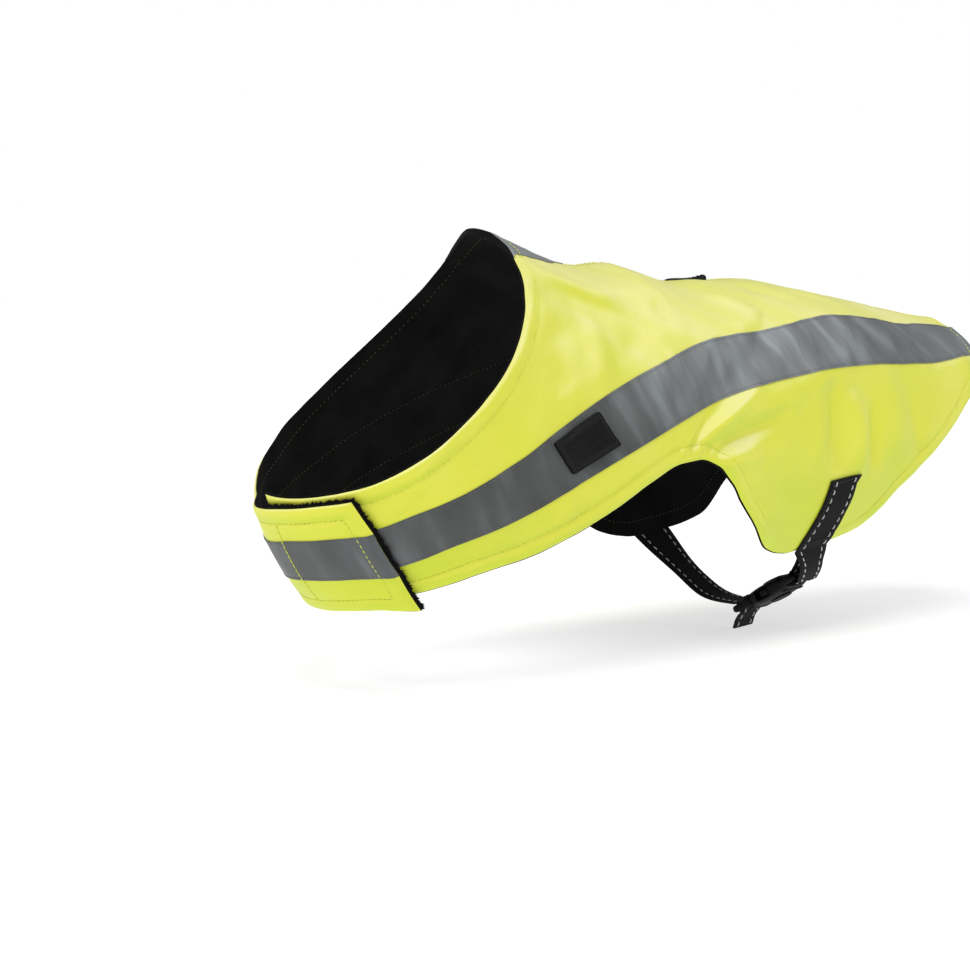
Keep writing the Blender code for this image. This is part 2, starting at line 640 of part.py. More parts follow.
def loop_rows(frame, bar_y, direction, arrives, far_run):
    """The turn of the webbing round a bar, and the run that lies back from it.

    direction is the side of the bar, along the buckle, that the turn passes, and arrives
    is 1 where the webbing comes in over the bar's outer face, or -1 over its inner face.
    """
    turn = np.array(frame.to_3x3())
    origin = np.array(frame.translation) / MM
    across, axis, outward = turn[:, 0], turn[:, 1], turn[:, 2]
    centre = origin + axis * bar_y
    radius = WEBBING_LOOP_RADIUS + (WEBBING[1] - WEBBING[0]) / 2
    rows = []
    for degrees in TURN_DEGREES:
        swing = math.radians(degrees)
        radial = outward * arrives * math.sin(swing) + axis * direction * math.cos(swing)
        rows.append((centre + radial * radius, radial * arrives))
    end, normal = rows[-1]
    for reach, droop in far_run:
        rows.append((end - axis * direction * reach + outward * droop, normal))
    return rows, across


def last_row_of(sheet):
    row = max(key[0] for key in sheet)
    left, middle, right = (sheet[(row, j)] for j in range(3))
    side = right[0] - left[0]
    return middle[0], side / np.linalg.norm(side), middle[1]


def build_belt_left(half, frame, bar_y):
    """From the left lobe down to the socket's bar, round it and back, sewn to itself."""
    sheet, quads = belt_start(half)
    start = last_row_of(sheet)
    turn, across = loop_rows(frame, bar_y, -1.0, 1.0, LEFT_RUN_BACK)
    if np.dot(across, start[1]) < 0:
        across = -across
    middle = (start[0] + turn[0][0]) / 2 + start[2] * LEFT_BELT_LIFT
    stops = [start, (middle, start[1] + across, start[2] + turn[0][1]), (turn[0][0], across, turn[0][1])]
    centres, sides, normals = blend_rows(stops, LEFT_BELT_STEPS)
    centres += [row[0] for row in turn[1:]]
    sides += [across] * (len(turn) - 1)
    normals += [row[1] for row in turn[1:]]
    ribbon("belt_left", centres, sides, normals, sheet, quads)


def build_belt_right(half, frame, bar_y):
    """From the right lobe under the belly to the plug's bar, with its loose tail."""
    sheet, quads = belt_start(half)
    start = last_row_of(sheet)
    turn, across = loop_rows(frame, bar_y, 1.0, -1.0, RIGHT_RUN_BACK)
    if np.dot(across, start[1]) < 0:
        across = -across
    stops = [start]
    for s, angle, lift in RIGHT_BELT:
        place = (np.array([s]), np.array([angle]))
        normal = ring_normal(*place)[0] * (-1.0, 1.0, 1.0)
        point = ring_point(*place)[0] * (-1.0, 1.0, 1.0) + normal * lift
        stops.append((point, start[1] * 0.5 + across * 0.5, normal))
    stops.append((turn[0][0], across, turn[0][1]))
    centres, sides, normals = blend_rows(stops, RIGHT_BELT_STEPS)
    centres += [row[0] for row in turn[1:]]
    sides += [across] * (len(turn) - 1)
    normals += [row[1] for row in turn[1:]]
    ribbon("belt_right", centres, sides, normals, sheet, quads)


def main():
    clear_scene()
    left, right = Half(1), Half(-1)
    build_half(left, "left")
    build_half(right, "right")
    build_label(left)
    build_nape_tape(left, right)
    build_slot_trim(left)
    frame = buckle_frame()
    socket_bar = build_socket(frame)
    plug_bar = build_plug(frame)
    build_belt_left(left, frame, socket_bar)
    build_belt_right(right, frame, plug_bar)


main()
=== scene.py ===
import math

import bpy
import numpy as np
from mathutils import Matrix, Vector
from mathutils.kdtree import KDTree


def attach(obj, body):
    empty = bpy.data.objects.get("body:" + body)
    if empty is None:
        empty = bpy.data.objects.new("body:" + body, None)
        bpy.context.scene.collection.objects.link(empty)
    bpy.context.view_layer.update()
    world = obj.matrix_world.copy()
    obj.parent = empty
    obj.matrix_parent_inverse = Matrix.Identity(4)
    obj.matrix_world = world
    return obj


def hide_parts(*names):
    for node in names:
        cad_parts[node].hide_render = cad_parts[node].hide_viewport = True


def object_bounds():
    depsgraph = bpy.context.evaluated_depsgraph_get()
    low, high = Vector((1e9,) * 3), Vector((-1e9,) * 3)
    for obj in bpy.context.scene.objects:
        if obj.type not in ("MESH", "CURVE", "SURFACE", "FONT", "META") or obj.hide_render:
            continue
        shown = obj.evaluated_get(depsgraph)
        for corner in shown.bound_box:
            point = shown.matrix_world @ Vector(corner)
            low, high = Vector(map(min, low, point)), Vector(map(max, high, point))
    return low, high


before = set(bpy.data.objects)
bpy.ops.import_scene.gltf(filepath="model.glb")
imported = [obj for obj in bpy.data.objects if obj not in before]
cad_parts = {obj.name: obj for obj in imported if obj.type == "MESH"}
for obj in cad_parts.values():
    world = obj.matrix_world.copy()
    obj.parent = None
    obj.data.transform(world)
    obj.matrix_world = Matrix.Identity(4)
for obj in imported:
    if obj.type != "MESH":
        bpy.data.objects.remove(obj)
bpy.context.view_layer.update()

# Lengths are in mm and angles in degrees. Materials, stage, light and camera are in Blender's units
MM = 0.001
TINY = 1e-6

# Hollow form, as rings from the neck edge to the rear hem: s, y and z of the top, y and z of the bottom,
# half width, egg shape, sag of the sides and pinch at the top
RINGS = np.array([
    (0.00, 0.0, 0.0, -139.0, -140.0, 78.0, 0.06, 18.0, 0.50),
    (0.20, 62.0, -15.0, -102.0, -197.0, 87.0, 0.04, 12.0, 0.42),
    (0.35, 108.0, -20.0, -38.0, -240.0, 88.0, 0.02, 6.0, 0.25),
    (0.50, 158.0, -22.0, 69.0, -250.0, 84.0, 0.00, 0.0, 0.08),
    (0.62, 202.0, -24.0, 189.0, -233.0, 81.0, 0.00, 0.0, 0.00),
    (0.80, 296.0, -31.0, 296.0, -219.0, 76.0, 0.00, 0.0, 0.00),
    (1.00, 420.0, -45.0, 420.0, -199.0, 67.0, 0.00, 0.0, 0.00),
])
PINCH_SWEEP = 0.93
PINCH_ROUNDING = 5.0

# Folds of the solids: s and angle of both ends, half width, height
FOLDS = np.array([
    (0.02, 38.0, 0.40, 26.0, 11.0, 2.6),
    (0.46, 76.0, 0.66, 30.0, 9.0, -3.0),
    (0.42, 74.0, 0.50, 34.0, 8.0, 2.2),
    (0.52, 78.0, 0.78, 54.0, 8.0, 2.4),
    (0.72, 60.0, 0.74, 104.0, 10.0, -2.8),
    (0.79, 58.0, 0.80, 98.0, 9.0, 2.4),
    (0.88, 20.0, 0.90, 72.0, 11.0, -2.4),
])
# The right chest band, drawn in at its neck edge and full below it
RIGHT_FOLDS = np.array([
    (0.075, 168.0, 0.090, 108.0, 13.0, 3.0),
    (0.000, 166.0, 0.000, 112.0, 9.0, -2.2),
])
# Smaller creases, given in the same way
CREASES = np.array([
    (0.465, 85.0, 0.600, 76.0, 5.0, -2.6),
    (0.455, 82.0, 0.560, 66.0, 4.5, 2.0),
    (0.470, 86.0, 0.560, 88.0, 6.0, 1.6),
    (0.448, 84.0, 0.470, 72.0, 2.4, -0.8),
    (0.432, 85.0, 0.446, 77.0, 1.9, 0.6),
    (0.480, 86.0, 0.505, 79.0, 2.2, 0.7),
    (0.677, 66.0, 0.675, 99.0, 6.5, -3.0),
    (0.713, 70.0, 0.723, 104.0, 7.5, 3.6),
    (0.640, 72.0, 0.650, 96.0, 6.5, 0.9),
    (0.752, 72.0, 0.748, 100.0, 4.5, -1.9),
    (0.376, 31.0, 0.361, 45.0, 2.0, -1.0),
    (0.384, 34.0, 0.372, 43.0, 2.2, 0.6),
    (0.312, 39.0, 0.311, 46.0, 2.0, -0.8),
    (0.330, 30.0, 0.345, 41.0, 3.2, 0.7),
    (0.050, 36.0, 0.275, 40.0, 6.0, 1.5),
    (0.372, 53.0, 0.437, 73.0, 2.4, 1.0),
    (0.362, 56.0, 0.418, 75.0, 2.2, -0.8),
    (0.335, 63.0, 0.402, 77.0, 2.6, 0.7),
    (0.470, 50.0, 0.485, 69.0, 4.5, -0.8),
    (0.528, 46.0, 0.548, 67.0, 2.8, 1.0),
    (0.562, 47.0, 0.566, 62.0, 2.2, -0.8),
    (0.598, 45.0, 0.590, 66.0, 3.6, 0.8),
    (0.648, 42.0, 0.640, 64.0, 2.6, -0.9),
    (0.668, 41.0, 0.657, 62.0, 2.2, 0.8),
    (0.742, 39.0, 0.712, 62.0, 2.8, 0.9),
    (0.772, 37.0, 0.742, 60.0, 2.4, -0.8),
    (0.838, 34.0, 0.812, 62.0, 3.4, 0.9),
    (0.905, 30.0, 0.880, 58.0, 3.0, -0.8),
    (0.535, 101.0, 0.602, 121.0, 3.6, 0.9),
    (0.560, 96.0, 0.640, 112.0, 8.0, -0.9),
    (0.520, 22.0, 0.600, 40.0, 5.5, 0.9),
    (0.600, 16.0, 0.720, 34.0, 7.0, -0.9),
    (0.690, 14.0, 0.800, 28.0, 6.0, 0.8),
    (0.160, 52.0, 0.250, 72.0, 9.0, 0.8),
    (0.060, 96.0, 0.200, 112.0, 9.0, -0.7),
    (0.090, 118.0, 0.200, 124.0, 7.0, 0.6),
    (0.250, 96.0, 0.300, 112.0, 5.0, 0.7),
    (0.820, 70.0, 0.850, 104.0, 5.0, -1.2),
    (0.930, 40.0, 0.960, 70.0, 5.0, 1.1),
    (0.960, 8.0, 0.985, 30.0, 4.0, -0.9),
])
# Low waves across the back, the same on both halves
BACK_WAVES = np.array([
    (0.180, -46.0, 0.180, 46.0, 50.0, -3.2),
    (0.335, -36.0, 0.335, 36.0, 20.0, 2.6),
    (0.490, -48.0, 0.490, 48.0, 31.0, -6.2),
    (0.605, -42.0, 0.605, 42.0, 23.0, -3.4),
    (0.790, -46.0, 0.790, 46.0, 34.0, -3.0),
    (0.970, -56.0, 0.970, 56.0, 58.0, -7.0),
])

# Distances in the cloth for one unit of s and for one degree
FLAT_PER_S = 420.0
FLAT_PER_DEGREE = 1.5
RIGHT_FOLD_SCALE = 0.8
CREASE_SCALE = 1.7
RIGHT_CREASE_SHIFT = (0.014, -3.0)
FLAP_LIFT = 5.8
FLAP_RISE = (156.0, 172.0)
SPINE_FADE = (0.0, 14.0)
RIPPLE_FADE = (140.0, 160.0)
# The cloth's unevenness: length of the waves, height and how many
RIPPLES = ((62.0, 0.22, 5), (27.0, 0.09, 6), (11.0, 0.03, 6))
RIPPLE_SEED = 11

# The cut: s and angle of the inner edge, the tape's two edges and the outer edge at each station
LEFT_FRONT = [
    (-0.005, 186.0, 0.085, 186.0, 0.150, 186.0, 0.200, 186.0),
    (-0.004, 183.0, 0.085, 183.0, 0.150, 183.0, 0.201, 183.0),
    (0.005, 157.0, 0.088, 157.0, 0.157, 158.0, 0.207, 158.0),
    (0.008, 151.0, 0.090, 151.0, 0.161, 153.0, 0.212, 153.0),
]
RIGHT_FRONT = [
    (0.023, 212.8, 0.091, 214.0, 0.172, 213.0, 0.235, 210.4),
    (0.013, 199.0, 0.075, 199.0, 0.150, 199.0, 0.209, 198.0),
    (0.010, 185.0, 0.070, 185.0, 0.143, 185.0, 0.202, 185.0),
    (0.013, 174.0, 0.076, 174.0, 0.146, 174.0, 0.202, 174.0),
    (0.015, 150.0, 0.088, 150.0, 0.162, 152.0, 0.214, 152.0),
]
BODY = [
    (0.015, 136.0, 0.095, 137.2, 0.172, 140.0, 0.228, 141.2),
    (0.016, 121.0, 0.108, 125.0, 0.184, 129.5, 0.243, 131.6),
    (0.013, 104.0, 0.133, 109.0, 0.215, 115.0, 0.275, 119.5),
    (0.011, 83.0, 0.167, 91.5, 0.268, 97.1, 0.342, 101.3),
    (0.010, 62.0, 0.217, 77.1, 0.324, 85.7, 0.394, 91.3),
    (0.006, 50.0, 0.293, 64.5, 0.385, 78.0, 0.440, 86.3),
    (0.003, 43.0, 0.375, 56.2, 0.440, 72.8, 0.472, 85.7),
    (0.000, 33.0, 0.440, 51.0, 0.490, 69.0, 0.498, 88.2),
    (0.140, 18.0, 0.500, 48.5, 0.535, 66.9, 0.527, 94.5),
    (0.205, 8.0, 0.522, 47.9, 0.555, 66.4, 0.541, 99.6),
    (0.290, 13.0, 0.550, 47.2, 0.580, 65.7, 0.560, 106.3),
    (0.430, 14.0, 0.600, 45.3, 0.628, 64.6, 0.600, 122.0),
    (0.520, 14.0, 0.650, 43.0, 0.664, 63.6, 0.620, 125.8),
    (0.560, 14.0, 0.682, 41.0, 0.700, 62.9, 0.640, 127.5),
    (0.600, 14.0, 0.725, 38.6, 0.757, 61.5, 0.690, 127.3),
    (0.680, 14.0, 0.780, 36.7, 0.815, 60.6, 0.745, 124.8),
    (0.790, 14.0, 0.850, 34.2, 0.880, 59.5, 0.820, 109.5),
    (0.900, 14.0, 0.920, 32.0, 0.935, 57.0, 0.900, 90.0),
    (1.000, 14.0, 0.998, 29.5, 0.993, 52.0, 0.975, 66.0),
]
LABEL_STATION = 3
NAPE_STATION = 7
NAPE_TAPE_END_STATION = 9
SLOT_STATIONS = (12, 13, 14)
BELT_STATIONS = (13, 14)
LEFT_TAPE_START = 3
RIGHT_TAPE_START = 0
STEP = 2.4
ZONE_ROWS = (10, 26, 14, 30)
ZONE_WIDTH = 28.0

# Heights of the cloth layers over the lining's inner face
LINING_LAYER = (0.1, 1.0)
SHELL_LAYER = (1.3, 2.3)
TAPE_LAYER = (2.33, 2.85)

# Hem: distance of its stitches from the edge, then the roll, the pad and the dip of the cloth
HEM = 8.6
HEM_ROLL = 0.85
HEM_ROLL_RADIUS = 1.6
HEM_PAD = 0.42
HEM_DIP = 0.34
HEM_DIP_WIDTH = 1.7
LINING_ROLL_RADIUS = 1.2
LINING_GROWTH = 0.9
SEAM_GROOVE = 0.7
SEAM_GROOVE_WIDTH = 1.3

# Threads: pitch, and where one bends along its length
STITCH_PITCH = 3.3
STITCH_BENDS = np.array([-0.5, -0.28, 0.0, 0.28, 0.5])
STITCH_JITTER = 0.12
STITCH_LIFT = 0.1
BOBBIN_LIFT = 0.05
SHORTEST_RUN = 12
SPINE_SEAM_STITCH = 3.4
TAPE_STITCH_ROWS = (2.045, 2.955)
CLOSURE_LINE = 50.0
CLOSURE_PITCH = 2.9

# Shift of the nape tape's u in its UVs, which sets its place on the tape's painted light along the length
NAPE_SHADE_AT = 300.0
NAPE_TURN = 0.5
PILE_GRID = (90, 110)
PILE_FIBRES = 4200
FIBRE_WIDTH = 0.06

# Label: half size, rounding, its place across the tape, then heights and the ribs' pitch
LABEL_SIZE = np.array([19.0, 10.8])
LABEL_CORNER = 1.5
LABEL_ROWS = (2.13, 2.80)
LABEL_GRID = (121, 81)
LABEL_LOW = 2.6
LABEL_HIGH = 5.0
LABEL_EDGE = 0.7
LABEL_GROOVE_AT = 2.1
LABEL_STITCH_HEIGHT = 4.5
LABEL_RIB_PITCH = 1.7

SLOT_HALF_WIDTH = 4.5
SLOT_REACH = 0.5
SLOT_RING = (120, 18)
SLOT_MIDDLE = 1.7
SLOT_HEIGHT = 2.2
SLOT_TIP_LIFT = 2.8
SLOT_STITCH_OUT = 1.8
SLOT_STITCH_UP = 0.6

WEBBING_WIDTH = 25.0
WEBBING_LIFT = 3.6
WEBBING_HALF_THICK = 0.65
WEBBING_LOOP_RADIUS = 4.0
WEBBING_COLUMNS = 15
DASH_ASIDE = 0.31
DASH_LIFT = WEBBING_HALF_THICK + 0.02
# Rows and shares of the width at the corners of the sewn box
BOX_CORNERS = ((1, -0.40), (1, 0.40), (22, 0.40), (22, -0.40), (1, -0.40))

BUCKLE_MOUTH = np.array((21.3, 231.2, -226.0))
BUCKLE_AXIS = np.array((0.85, 0.15, 0.505))
BUCKLE_OUTWARD = np.array((0.50, 0.10, -0.86))
SOCKET_BAR = 34.1
PLUG_BAR = -14.5
# Places of the right belt between its lobe and the buckle: s, angle, lift
RIGHT_BELT = [(0.674, 141.0, 3.0), (0.678, 155.0, 3.0), (0.677, 168.0, 3.5)]
# How far the loose ends run past the bar, and how far they hang there
LEFT_END = [(5.0, -3.0), (11.0, -8.0)]
RIGHT_END = [(3.5, 1.8), (7.5, 5.5)]

# Buckle, along its own axis from the socket's mouth. Rings are (y, half width, half height), arms are
# (x, y, half width)
UP = (0.0, 0.0, 1.0)
SOCKET_RINGS = [
    (0.3, 15.9, 4.6), (0.8, 16.5, 5.0), (3.0, 16.8, 5.3), (5.0, 17.0, 5.5), (8.0, 16.7, 5.7),
    (11.0, 16.5, 5.7), (15.0, 16.5, 5.6), (19.0, 16.4, 5.4), (23.0, 16.1, 5.0), (25.4, 15.7, 4.3),
    (26.2, 15.2, 3.6),
]
SOCKET_WALL = 1.8
SOCKET_CAVITY_END = 20.5
SOCKET_MOUTH_INSIDE = [(0.3, 14.6, 3.3), (0.8, 14.7, 3.4)]
WINDOW = (5.0, 15.0)
WINDOW_TURN = 0.072
BOSS_AT = 12.5
BOSS_RINGS = [(7.2, 5.0), (7.2, 6.1), (6.8, 6.45), (6.0, 6.5), (5.4, 6.05), (4.0, 6.1), (0.4, 6.4)]
BOSS_CORNERS = 48
PLUG_RINGS = [
    (-8.2, 14.6, 3.0), (-7.6, 15.3, 3.8), (-5.0, 15.8, 4.4), (-1.2, 16.0, 4.6), (-0.5, 15.6, 4.3),
    (0.2, 13.2, 3.0),
]
PRONG = [
    (9.2, -0.5, 1.5), (9.6, 4.0, 1.5), (11.0, 6.4, 1.7), (13.4, 8.4, 2.0), (14.7, 10.5, 1.9),
    (14.5, 13.0, 1.8), (12.8, 14.6, 1.5), (10.8, 16.8, 1.0),
]
PRONG_HALF_HEIGHT = 2.3
GUIDE = [(0.0, -0.5, 2.0), (0.0, 7.0, 2.0), (0.0, 13.6, 1.8), (0.0, 14.4, 1.2)]
GUIDE_HALF_HEIGHT = 1.8

# Directions of the painted light: the yellow cloth is painted paler, and the grey tape brighter, where they
# face these directions
PAINTED_LIGHT_TOWARD = (0.0, -0.35, 0.94)
TAPE_PAINTED_LIGHT_TOWARD = (0.0, -0.50, 0.86)

FLOOR_HALF = 40.0
FLOOR_GAP = 0.0005
FLOOR_GLOW = 0.6
SKY_LIGHT = 0.38
KEY_LIGHT = 1.85
REAR_LIGHT = 0.45
CAMERA_AZIMUTH = 47.0
CAMERA_ELEVATION = 5.0
CAMERA_DISTANCE = 1.232
CAMERA_AIM = Vector((0.0, 0.010, -0.1425))
CAMERA_LENS = 80.24
CAMERA_SENSOR = 36.0


# Curves and grids

def interval(knots, at):
    return np.clip(np.searchsorted(knots, at, side="right") - 1, 0, len(knots) - 2)


def natural_spline(knots, rows, at):
    count = len(knots)
    step = np.diff(knots)
    system = np.eye(count)
    right = np.zeros_like(rows)
    for i in range(1, count - 1):
        system[i, i - 1:i + 2] = (step[i - 1], 2.0 * (step[i - 1] + step[i]), step[i])
        right[i] = 6.0 * ((rows[i + 1] - rows[i]) / step[i] - (rows[i] - rows[i - 1]) / step[i - 1])
    bend = np.linalg.solve(system, right)
    i = interval(knots, at)
    span = step[i][:, None]
    a = ((knots[i + 1] - at) / step[i])[:, None]
    b = 1.0 - a
    curved = ((a ** 3 - a) * bend[i] + (b ** 3 - b) * bend[i + 1]) * span ** 2 / 6.0
    return a * rows[i] + b * rows[i + 1] + curved


def monotone_spline(knots, rows, at):
    slope = np.diff(rows, axis=0) / np.diff(knots)[:, None]
    before, after = slope[:-1], slope[1:]
    total = np.where(np.abs(before + after) > 1e-9, before + after, 1.0)
    inner = np.where(before * after > 0.0, 2.0 * before * after / total, 0.0)
    tangent = np.vstack([slope[:1], inner, slope[-1:]])
    i = interval(knots, at)
    span = np.diff(knots)[i][:, None]
    t = ((at - knots[i]) / np.diff(knots)[i])[:, None]
    start = (2 * t ** 3 - 3 * t ** 2 + 1) * rows[i] + (t ** 3 - 2 * t ** 2 + t) * span * tangent[i]
    end = (3 * t ** 2 - 2 * t ** 3) * rows[i + 1] + (t ** 3 - t ** 2) * span * tangent[i + 1]
    return start + end


def smoothstep(low, high, x):
    t = np.clip((x - low) / (high - low), 0.0, 1.0)
    return t * t * (3.0 - 2.0 * t)


def unit(rows):
    return rows / np.maximum(np.linalg.norm(rows, axis=-1, keepdims=True), 1e-9)


def arc_length(path):
    """Distance along a path at each of its points."""
    return np.concatenate([[0.0], np.cumsum(np.linalg.norm(np.diff(path, axis=0), axis=1))])


def sample(knots, rows, at):
    """Points or normals between rows, by the rows' knots."""
    return np.stack([np.interp(at, knots, rows[:, k]) for k in range(3)], axis=-1)


def grid(a, b):
    """Both coordinates of each point of a grid, row by row."""
    return [part.ravel() for part in np.meshgrid(a, b, indexing="ij")]


def cell_quads(i, j, cols):
    """Point numbers round the cells i, j of a grid."""
    corner = i * cols + j
    return np.stack([corner, corner + cols, corner + cols + 1, corner + 1], axis=1)


def grid_quads(rows, cols):
    return cell_quads(*grid(np.arange(rows - 1), np.arange(cols - 1)), cols)


def rounded(turn, power):
    """Cosine and sine of a rounded rectangle, which at a power of 2 is a circle."""
    return [np.sign(x) * np.abs(x) ** (2 / power) for x in (np.cos(turn), np.sin(turn))]


def edge_drop(away, radius):
    """Share by which a rounded edge has dropped, at a distance from its rim."""
    return 1.0 - np.sqrt(1.0 - np.clip(1.0 - away / radius, 0.0, 1.0) ** 2)


def boundary(quads):
    """Directed edges that only one quad has."""
    edges = np.concatenate([quads[:, [0, 1]], quads[:, [1, 2]], quads[:, [2, 3]], quads[:, [3, 0]]])
    _, first, count = np.unique(np.sort(edges, axis=1), axis=0, return_index=True, return_counts=True)
    return edges[first[count == 1]]


# The form

def ring_point(s, angle):
    top_y, top_z, low_y, low_z, width, egg, drop, pinch = natural_spline(RINGS[:, 0], RINGS[:, 1:], s).T
    v = np.radians(angle)
    centre_y, centre_z = (top_y + low_y) / 2, (top_z + low_z) / 2
    half_y, half_z = (top_y - low_y) / 2, (top_z - low_z) / 2
    half = np.hypot(half_y, half_z)
    draw = width * np.abs(np.sin(v)) * pinch * ((1 + np.cos(v)) / 2) ** 2
    sag = drop * np.sin(v) ** 2
    x = width * np.sin(v) * (1 + egg * np.cos(v)) - np.sign(np.sin(v)) * draw
    y = centre_y + np.cos(v) * half_y + sag * half_z / half
    y = y + PINCH_SWEEP * (np.hypot(draw, PINCH_ROUNDING) - PINCH_ROUNDING)
    z = centre_z + np.cos(v) * half_z - sag * half_y / half
    return np.stack([x, y, z], axis=-1)


def ring_normal(s, angle):
    along = ring_point(s + 0.002, angle) - ring_point(s - 0.002, angle)
    around = ring_point(s, angle + 0.4) - ring_point(s, angle - 0.4)
    return unit(np.cross(around, along))


def fold_height(table, s, angle):
    place = np.stack([s * FLAT_PER_S, angle * FLAT_PER_DEGREE], axis=-1)
    height = np.zeros(len(s))
    for s_from, angle_from, s_to, angle_to, half_width, tall in table:
        start = np.array([s_from * FLAT_PER_S, angle_from * FLAT_PER_DEGREE])
        run = np.array([s_to * FLAT_PER_S, angle_to * FLAT_PER_DEGREE]) - start
        along = (place - start) @ run / (run @ run)
        away = np.linalg.norm(place - start - np.clip(along, 0, 1)[:, None] * run, axis=-1)
        fade = np.sin(np.pi * np.clip(along, 0.0, 1.0)) ** 0.7
        height += tall * fade * np.exp(-(away / half_width) ** 2)
    return height


def ripple(s, angle, side):
    """Slight unevenness of the cloth: low waves with shorter ones on them."""
    draws = np.random.default_rng(RIPPLE_SEED + (side < 0))
    x, y = s * FLAT_PER_S, angle * FLAT_PER_DEGREE
    height = np.zeros(len(s))
    for wave, tall, count in RIPPLES:
        for _ in range(count):
            turn, phase = draws.uniform(0, math.pi), draws.uniform(0, 2 * math.pi)
            length = wave * draws.uniform(0.75, 1.3)
            height += tall * np.sin(2 * math.pi / length * (x * math.cos(turn) + y * math.sin(turn)) + phase)
    return height


def form(s, angle, side):
    """Points and normals of the dressed form: the solids' folds, with creases and waves laid on them."""
    height = fold_height(FOLDS, s, angle)
    if side > 0:
        height = height + CREASE_SCALE * fold_height(CREASES, s, angle)
    else:
        shift_s, shift_angle = RIGHT_CREASE_SHIFT
        height = RIGHT_FOLD_SCALE * (height + fold_height(CREASES, s - shift_s, angle - shift_angle))
        height = height + fold_height(RIGHT_FOLDS, s, angle)
        height = height + FLAP_LIFT * smoothstep(*FLAP_RISE, angle)
    off_spine = smoothstep(*SPINE_FADE, angle)
    height = height * off_spine + fold_height(BACK_WAVES, s, angle)
    height = height + ripple(s, angle, side) * off_spine * (1.0 - smoothstep(*RIPPLE_FADE, angle))
    normal = ring_normal(s, angle)
    mirror = np.array([side, 1.0, 1.0])
    return (ring_point(s, angle) + normal * height[:, None]) * mirror, normal * mirror


class Panel:
    """One half. u runs from its chest end to the rear hem; v is 0 at the spine, 1 at the
    inner edge, 2 and 3 at the side tape's edges, and 4 at the outer edge."""

    def __init__(self, side, word, front, tape_start):
        self.side = side
        self.word = word
        self.table = np.array(front + BODY)
        self.front = len(front)
        middle = (self.table[:, 2:4] + self.table[:, 4:6]) / 2 * (FLAT_PER_S, FLAT_PER_DEGREE)
        self.knots = arc_length(middle)
        self.nape = self.station(NAPE_STATION)
        self.tape_start = self.knots[tape_start]
        us = [self.knots[0]]
        for a, b in zip(self.knots[:-1], self.knots[1:]):
            count = max(1, round((b - a) / STEP))
            us += [a + (b - a) * (n + 1) / count for n in range(count)]
        self.us = np.array(us)
        self.vs = np.concatenate([k + np.arange(n) / n for k, n in enumerate(ZONE_ROWS)] + [[4.0]])
        self.uu, self.vv = grid(self.us, self.vs)
        self.point, self.normal = self.surface(self.uu, self.vv)
        self.valid = (self.vs[None, :-1] >= 1.0 - TINY) | (self.us[:-1, None] >= self.nape - TINY)
        self.quads = self.cells(self.valid)
        edges = boundary(self.quads)
        self.outline = edges[(self.vv[edges] >= TINY).any(axis=1)]
        self.tree = self.edge_tree()
        self.away = self.edge_distance(self.point)

    def station(self, k):
        return self.knots[self.front + k]

    def cells(self, mask):
        return cell_quads(*np.nonzero(mask), len(self.vs))

    def surface(self, u, v):
        """Point and normal on the form, which the leash slot draws apart at the spine."""
        edges = monotone_spline(self.knots, self.table, u).reshape(-1, 4, 2)
        lines = np.concatenate([edges[:, :1] * (1.0, 0.0), edges], axis=1)
        k = np.clip(np.floor(v).astype(int), 0, 3)
        f = (v - k)[:, None]
        n = np.arange(len(u))
        spot = lines[n, k] * (1 - f) + lines[n, k + 1] * f
        point, normal = form(spot[:, 0], spot[:, 1], self.side)
        t = np.interp(u, [self.station(k) for k in SLOT_STATIONS], (-1.0, 0.0, 1.0))
        drawn = SLOT_HALF_WIDTH * np.sqrt(1.0 - t * t) * np.clip(1.0 - v / SLOT_REACH, 0.0, 1.0)
        point[:, 0] += self.side * drawn
        return point, normal

    def edge_tree(self):
        a, b = (self.point[self.outline[:, k]] for k in (0, 1))
        dense = np.concatenate([a + (b - a) * f for f in (0.0, 0.2, 0.4, 0.6, 0.8)])
        tree = KDTree(len(dense))
        for n, point in enumerate(dense):
            tree.insert(point, n)
        tree.balance()
        return tree

    def edge_distance(self, points):
        return np.array([self.tree.find(p)[2] for p in points])

    def skin(self, u, v):
        """Point and normal on top of the shell or of a tape, with the hem's shape."""
        point, normal = self.surface(u, v)
        nape = (v < 1.0) & (u < self.station(NAPE_TAPE_END_STATION))
        on_tape = nape | ((v >= 2.0) & (v <= 3.0))
        top = np.where(on_tape, TAPE_LAYER[1], SHELL_LAYER[1]) + hem_shape(self.edge_distance(point))
        return point + normal * top[:, None], normal


def hem_shape(away):
    """Change of height near an edge: rolled there, padded up to the stitches, dipped at them."""
    pad = np.sin(np.pi * np.clip(away / HEM, 0.0, 1.0))
    dip = np.exp(-((away - HEM) / HEM_DIP_WIDTH) ** 2)
    return HEM_PAD * pad - HEM_ROLL * edge_drop(away, HEM_ROLL_RADIUS) - HEM_DIP * dip


# Meshes

def new_object(name, verts, faces, finish, uv=None, sharp=50.0):
    mesh = bpy.data.meshes.new(name)
    mesh.from_pydata((np.asarray(verts) * MM).tolist(), [], faces)
    if uv is not None:
        layer = mesh.uv_layers.new(name="UVMap")
        index = np.zeros(len(mesh.loops), int)
        mesh.loops.foreach_get("vertex_index", index)
        layer.data.foreach_set("uv", (uv[index] * MM).astype(np.float32).ravel())
    mesh.shade_smooth()
    mesh.set_sharp_from_angle(angle=math.radians(sharp))
    mesh.materials.append(finish)
    thing = bpy.data.objects.new(name, mesh)
    bpy.context.scene.collection.objects.link(thing)
    return thing


